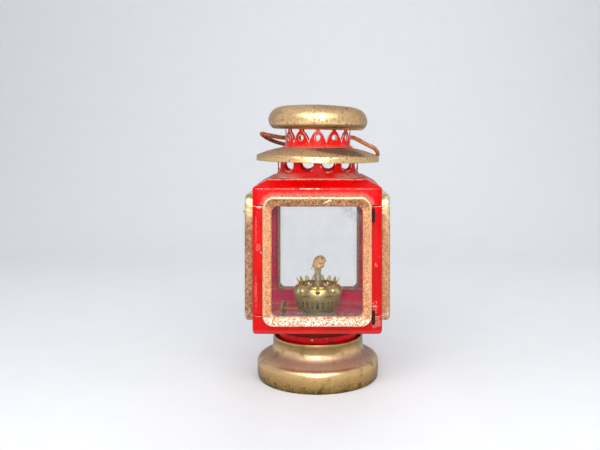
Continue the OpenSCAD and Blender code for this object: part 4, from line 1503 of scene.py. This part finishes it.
@dataclass
class Chimney:
    """Vent collar, shade, crown collar and cap."""

    shade_r: float = 61.0
    shade_top: float = 226.98
    shade_rise: float = 8.3
    shade_rim: float = 5.5
    crown_r: float = 32.5
    cap_r: float = 49.4
    cap_edge: float = 9.5
    cap_shoulder: float = 13.0
    cap_turn: float = 24.0
    cap_rim_z: float = 244.58
    sheet: float = 0.8
    lean: float = 0.85
    cap_lean: float = 1.25
    steps: int = 240

    @property
    def hem_z(self) -> float:
        """Height of the shade's hem."""
        return self.shade_top - self.shade_rise - self.shade_rim

    def shade_outline(self) -> Outline:
        """Draws the section of the shade.

        Returns:
            Its outline, from the hem to the crown and back.
        """
        rim, r = self.hem_z, self.shade_r
        eave = rim + self.shade_rim
        path = [(r - 1.6, rim + 0.3), (r - 0.3, rim), (r + 0.15, rim + 0.35), (r + 0.15, rim + 2.2)]
        path += [(r, eave - 1.4), (r - 0.1, eave - 0.7), (r - 0.5, eave - 0.1)]
        for i in range(20, -1, -1):
            f = i / 20 * 0.975
            slope = self.shade_rise * (0.55 * f + 0.45 * f * f)
            path.append((self.crown_r + f * (r - self.crown_r), self.shade_top - slope))
        path.append((self.crown_r - self.sheet, self.shade_top))
        return path + list(reversed(inset(path, self.sheet)))

    def cap_outline(self) -> Outline:
        """Draws the section of the cap.

        Returns:
            Its outline, from the hem to the button and back.
        """
        bend, lean = math.radians(62), math.radians(6)
        edge_z = self.cap_rim_z + self.cap_edge * math.sin(math.radians(65))
        wider = self.cap_turn - self.cap_shoulder
        turn_x = self.cap_r - self.cap_shoulder - wider * math.cos(bend)
        turn_z = edge_z - wider * math.sin(bend)
        dome_r = self.cap_turn + turn_x / math.sin(lean)
        dome_z = turn_z + (self.cap_turn - dome_r) * math.cos(lean)
        path = arc(self.cap_r - self.cap_edge, edge_z, self.cap_edge, -65, 0, 14)
        path += arc(self.cap_r - self.cap_shoulder, edge_z, self.cap_shoulder, 0, 62, 14)[1:]
        path += arc(turn_x, turn_z, self.cap_turn, 62, 84, 8)[1:]
        turns = [lean * (1 - i / 12) for i in range(1, 11)]
        path += [(dome_r * math.sin(t), dome_z + dome_r * math.cos(t)) for t in turns]
        top = dome_z + dome_r
        path += [(1.9, top - 0.02), (1.4, top + 0.12), (1.0, top + 0.48), (0.55, top + 0.58)]
        inner = inset(path, self.sheet)
        return path + [(0, top + 0.6), (0, top - self.sheet)] + list(reversed(inner[:-4]))

    def tilted(self, point: Vector, lean: float, pivot: float, knocks: float) -> Vector:
        """Leans a piece to the right and makes its sheet uneven.

        Args:
            point: A point of the upright piece.
            lean: How far it leans, in degrees.
            pivot: Height that it leans about.
            knocks: How uneven it is there, in millimetres.

        Returns:
            Where the point ends up.
        """
        push = knocks * (ripple(point, 26, 4.4) + 0.4 * ripple(point, 9, 1.3))
        turn = Matrix.Rotation(math.radians(lean), 3, "Y")
        base = Vector((0, 0, pivot))
        return turn @ (point - base) + base + Vector((0, 0, push))

    def tilted_shade(self, point: Vector) -> Vector:
        """Leans the shade; its sheet is uneven outside the crown only."""
        knocks = 0.22 * min(1.0, max(0.0, math.hypot(point.x, point.y) - 36) / 12)
        return self.tilted(point, self.lean, self.shade_top, knocks)

    def build(self, maker: Maker) -> None:
        """Makes the brass skins and dresses the red collars.

        Args:
            maker: Makes and dresses the pieces.
        """
        shade = spin(self.shade_outline(), self.steps)
        warp(shade, self.tilted_shade)
        brass = ChimneyBrass("chimney_brass_shade", "chimney_brass", 0.85, self.hem_z)
        maker.piece(shade, "shade_skin", "lantern", brass, ["shade"], 50)
        cap = spin(self.cap_outline(), self.steps)
        warp(cap, lambda p: self.tilted(p, self.cap_lean, self.cap_rim_z + 6, 0.16))
        brass = ChimneyBrass("chimney_brass_cap", "chimney_brass", 0.3, self.cap_rim_z, True)
        maker.piece(cap, "cap_skin", "lantern", brass, ["cap"], 50)
        maker.dress(ChimneyBrass("chimney_brass_plate", "chimney_brass", 0.1), "cap_baffle")
        maker.dress(RedEnamel("red_enamel_vent", "red_enamel", Wear.VENT), "vent_collar")
        maker.dress(RedEnamel("red_enamel_crown", "red_enamel", Wear.CROWN), "crown_collar")


@dataclass
class Bail:
    """Wire bail with its ends hooked through two petals."""

    axle_z: float = 236.381
    crown_r: float = 32.5
    wire_r: float = 2.1
    reach: float = 75.5

    def build(self, maker: Maker) -> None:
        """Makes the bent, pitted wire.

        Args:
            maker: Makes and dresses the pieces.
        """
        c = self.crown_r
        points = [
            (-c + 2.6, 0, -0.1), (-c + 1.0, 0, 0), (-c - 3, 0, 0), (-c - 9, 0.3, 0.9), (-49, 1.2, 2.4),
            (-54.6, 4, 3.6), (-57, 10, 3.6), (-56.2, 22, 1.9), (-52, 38, -1.6), (-43.5, 54, -5.6),
            (-30, 66.5, -9), (-12, 73.5, -12), (8, self.reach, -14.8), (26.5, 73, -17.6),
            (43.5, 64.5, -20), (54.6, 51, -21), (60.6, 36, -19.6),
            (61.6, 24, -16.4), (59, 15.5, -12.6), (55.4, 9.5, -9.8), (50, 4.8, -7.4), (44, 1, -4.2),
            (c + 6.5, 0.3, -1.6), (c + 2.6, 0, 0), (c - 1.0, 0, 0.1), (c - 2.6, 0, 0.1),
        ]
        line = [p + Vector((0, 0, self.axle_z)) for p in curve_through(points, 8)]
        bm = bmesh.new()
        sweep(bm, line, lambda t: self.wire_r * (1 + 0.02 * math.sin(60 * t)), 20)
        warp(bm, lambda p: p + 0.09 * Vector((ripple(p, 2.2, 1), ripple(p, 2.2, 4), ripple(p, 2.2, 9))))
        maker.piece(bm, "bail_wire", "bail", RustyWire("wire_rust", "rusty_wire"), ["bail"], 60)


@dataclass(frozen=True)
class Softbox:
    """One soft area lamp that faces the middle of the object; its lengths are in metres."""

    name: str
    place: tuple[float, float, float]
    size: tuple[float, float]
    power: float
    mirrored: bool = False

    def hang(self) -> None:
        """Adds the lamp to the scene; shiny surfaces show its shape where it is mirrored."""
        light = bpy.data.lights.new(self.name, "AREA")
        light.shape, light.size, light.size_y = "RECTANGLE", *self.size
        light.energy = self.power
        obj = bpy.data.objects.new(self.name, light)
        obj.visible_glossy = self.mirrored
        obj.location = self.place
        facing = Vector((0, 0, 0.14)) - Vector(self.place)
        obj.rotation_euler = facing.to_track_quat("-Z", "Y").to_euler()
        bpy.context.scene.collection.objects.link(obj)


@dataclass
class Studio:
    """Pale paper sweep, soft lamps and the camera; its lengths are in metres."""

    eye: tuple[float, float, float] = (0.0076, -0.730, 0.240)
    lens: float = 43.8
    shift: tuple[float, float] = (-0.0425, -0.1517)
    paper_front: float = -1.6
    paper_half: float = 2.4
    paper_top: float = 2.2
    bend_y: float = 0.7
    bend_r: float = 0.6
    lamps: tuple[Softbox, ...] = (
        Softbox("key", (-0.03, -0.95, 1.0), (1.5, 0.6), 14, True),
        Softbox("front", (-0.02, -1.3, 0.36), (0.5, 0.25), 5.5, True),
        Softbox("left", (-1.2, -0.5, 0.7), (0.8, 0.8), 3.6),
        Softbox("right", (1.2, -0.4, 0.6), (0.8, 0.8), 3.2),
        Softbox("back", (0.2, 1.0, 1.3), (0.9, 0.6), 4.5),
    )

    def ground(self) -> None:
        """A floor that curves up behind the lamp."""
        bm = bmesh.new()
        bend = arc(self.bend_y, self.bend_r, self.bend_r, -90, 0, 16)
        wall = self.bend_y + self.bend_r
        profile = [(self.paper_front, 0.0), (self.bend_y, 0.0)] + bend + [(wall, self.paper_top)]
        across = [self.paper_half * share for share in (-1, -1 / 3, 1 / 3, 1)]
        rows = [[bm.verts.new((x, y, z)) for y, z in profile] for x in across]
        for left, right in zip(rows, rows[1:]):
            for k in range(len(profile) - 1):
                bm.faces.new((left[k], right[k], right[k + 1], left[k + 1]))
        mesh = bpy.data.meshes.new("studio_floor")
        bm.to_mesh(mesh)
        bm.free()
        mesh.shade_smooth()
        mesh.materials.append(StudioPaper("studio_paper", "stage").material())
        obj = bpy.data.objects.new("studio_floor", mesh)
        bpy.context.scene.collection.objects.link(obj)

    def sky(self) -> None:
        """A dim even fill, seen as a pale ground by the camera and in reflections."""
        world = bpy.data.worlds.new("studio_world")
        world.use_nodes = True
        tree = Tree(world.node_tree)
        rays = tree.node("ShaderNodeLightPath").outputs
        seen = Val(tree, rays["Is Camera Ray"])
        for ray in ("Is Transmission Ray", "Is Glossy Ray"):
            seen = seen.most(Val(tree, rays[ray]))
        fill = tree.node("ShaderNodeBackground", None, {"Color": (0.9, 0.94, 1.0, 1), "Strength": 0.38})
        ground = tree.node("ShaderNodeBackground", None, {"Color": (0.86, 0.87, 0.88, 1), "Strength": 0.8})
        both = tree.node("ShaderNodeMixShader", None, {0: seen, 1: fill.outputs[0], 2: ground.outputs[0]})
        tree.node("ShaderNodeOutputWorld", None, {"Surface": both.outputs[0]})
        bpy.context.scene.world = world

    def camera(self) -> None:
        """A level camera with a small shift."""
        data = bpy.data.cameras.new("camera")
        data.lens, data.sensor_width = self.lens, 36.0
        data.shift_x, data.shift_y = self.shift
        data.clip_start = 0.01
        obj = bpy.data.objects.new("camera", data)
        obj.location = self.eye
        obj.rotation_euler = (math.radians(90), 0, 0)
        bpy.context.scene.collection.objects.link(obj)
        bpy.context.scene.camera = obj

    def build(self) -> None:
        """Sets the stage."""
        self.ground()
        self.sky()
        for lamp in self.lamps:
            lamp.hang()
        self.camera()
        bpy.context.scene.view_settings.view_transform = "Standard"


def main() -> None:
    """Builds the lamp's pieces in order, then the studio."""
    logging.basicConfig(level=logging.INFO, format="%(name)s: %(message)s")
    maker = Maker()
    for part in (Fount(), Burner(), Wick(), Body(), Windows(), Chimney(), Bail()):
        LOG.info("building %s", type(part).__name__)
        part.build(maker)
    Studio().build()
    LOG.info("%d pieces of its own", len(maker.made))


if __name__ == "__main__":
    main()
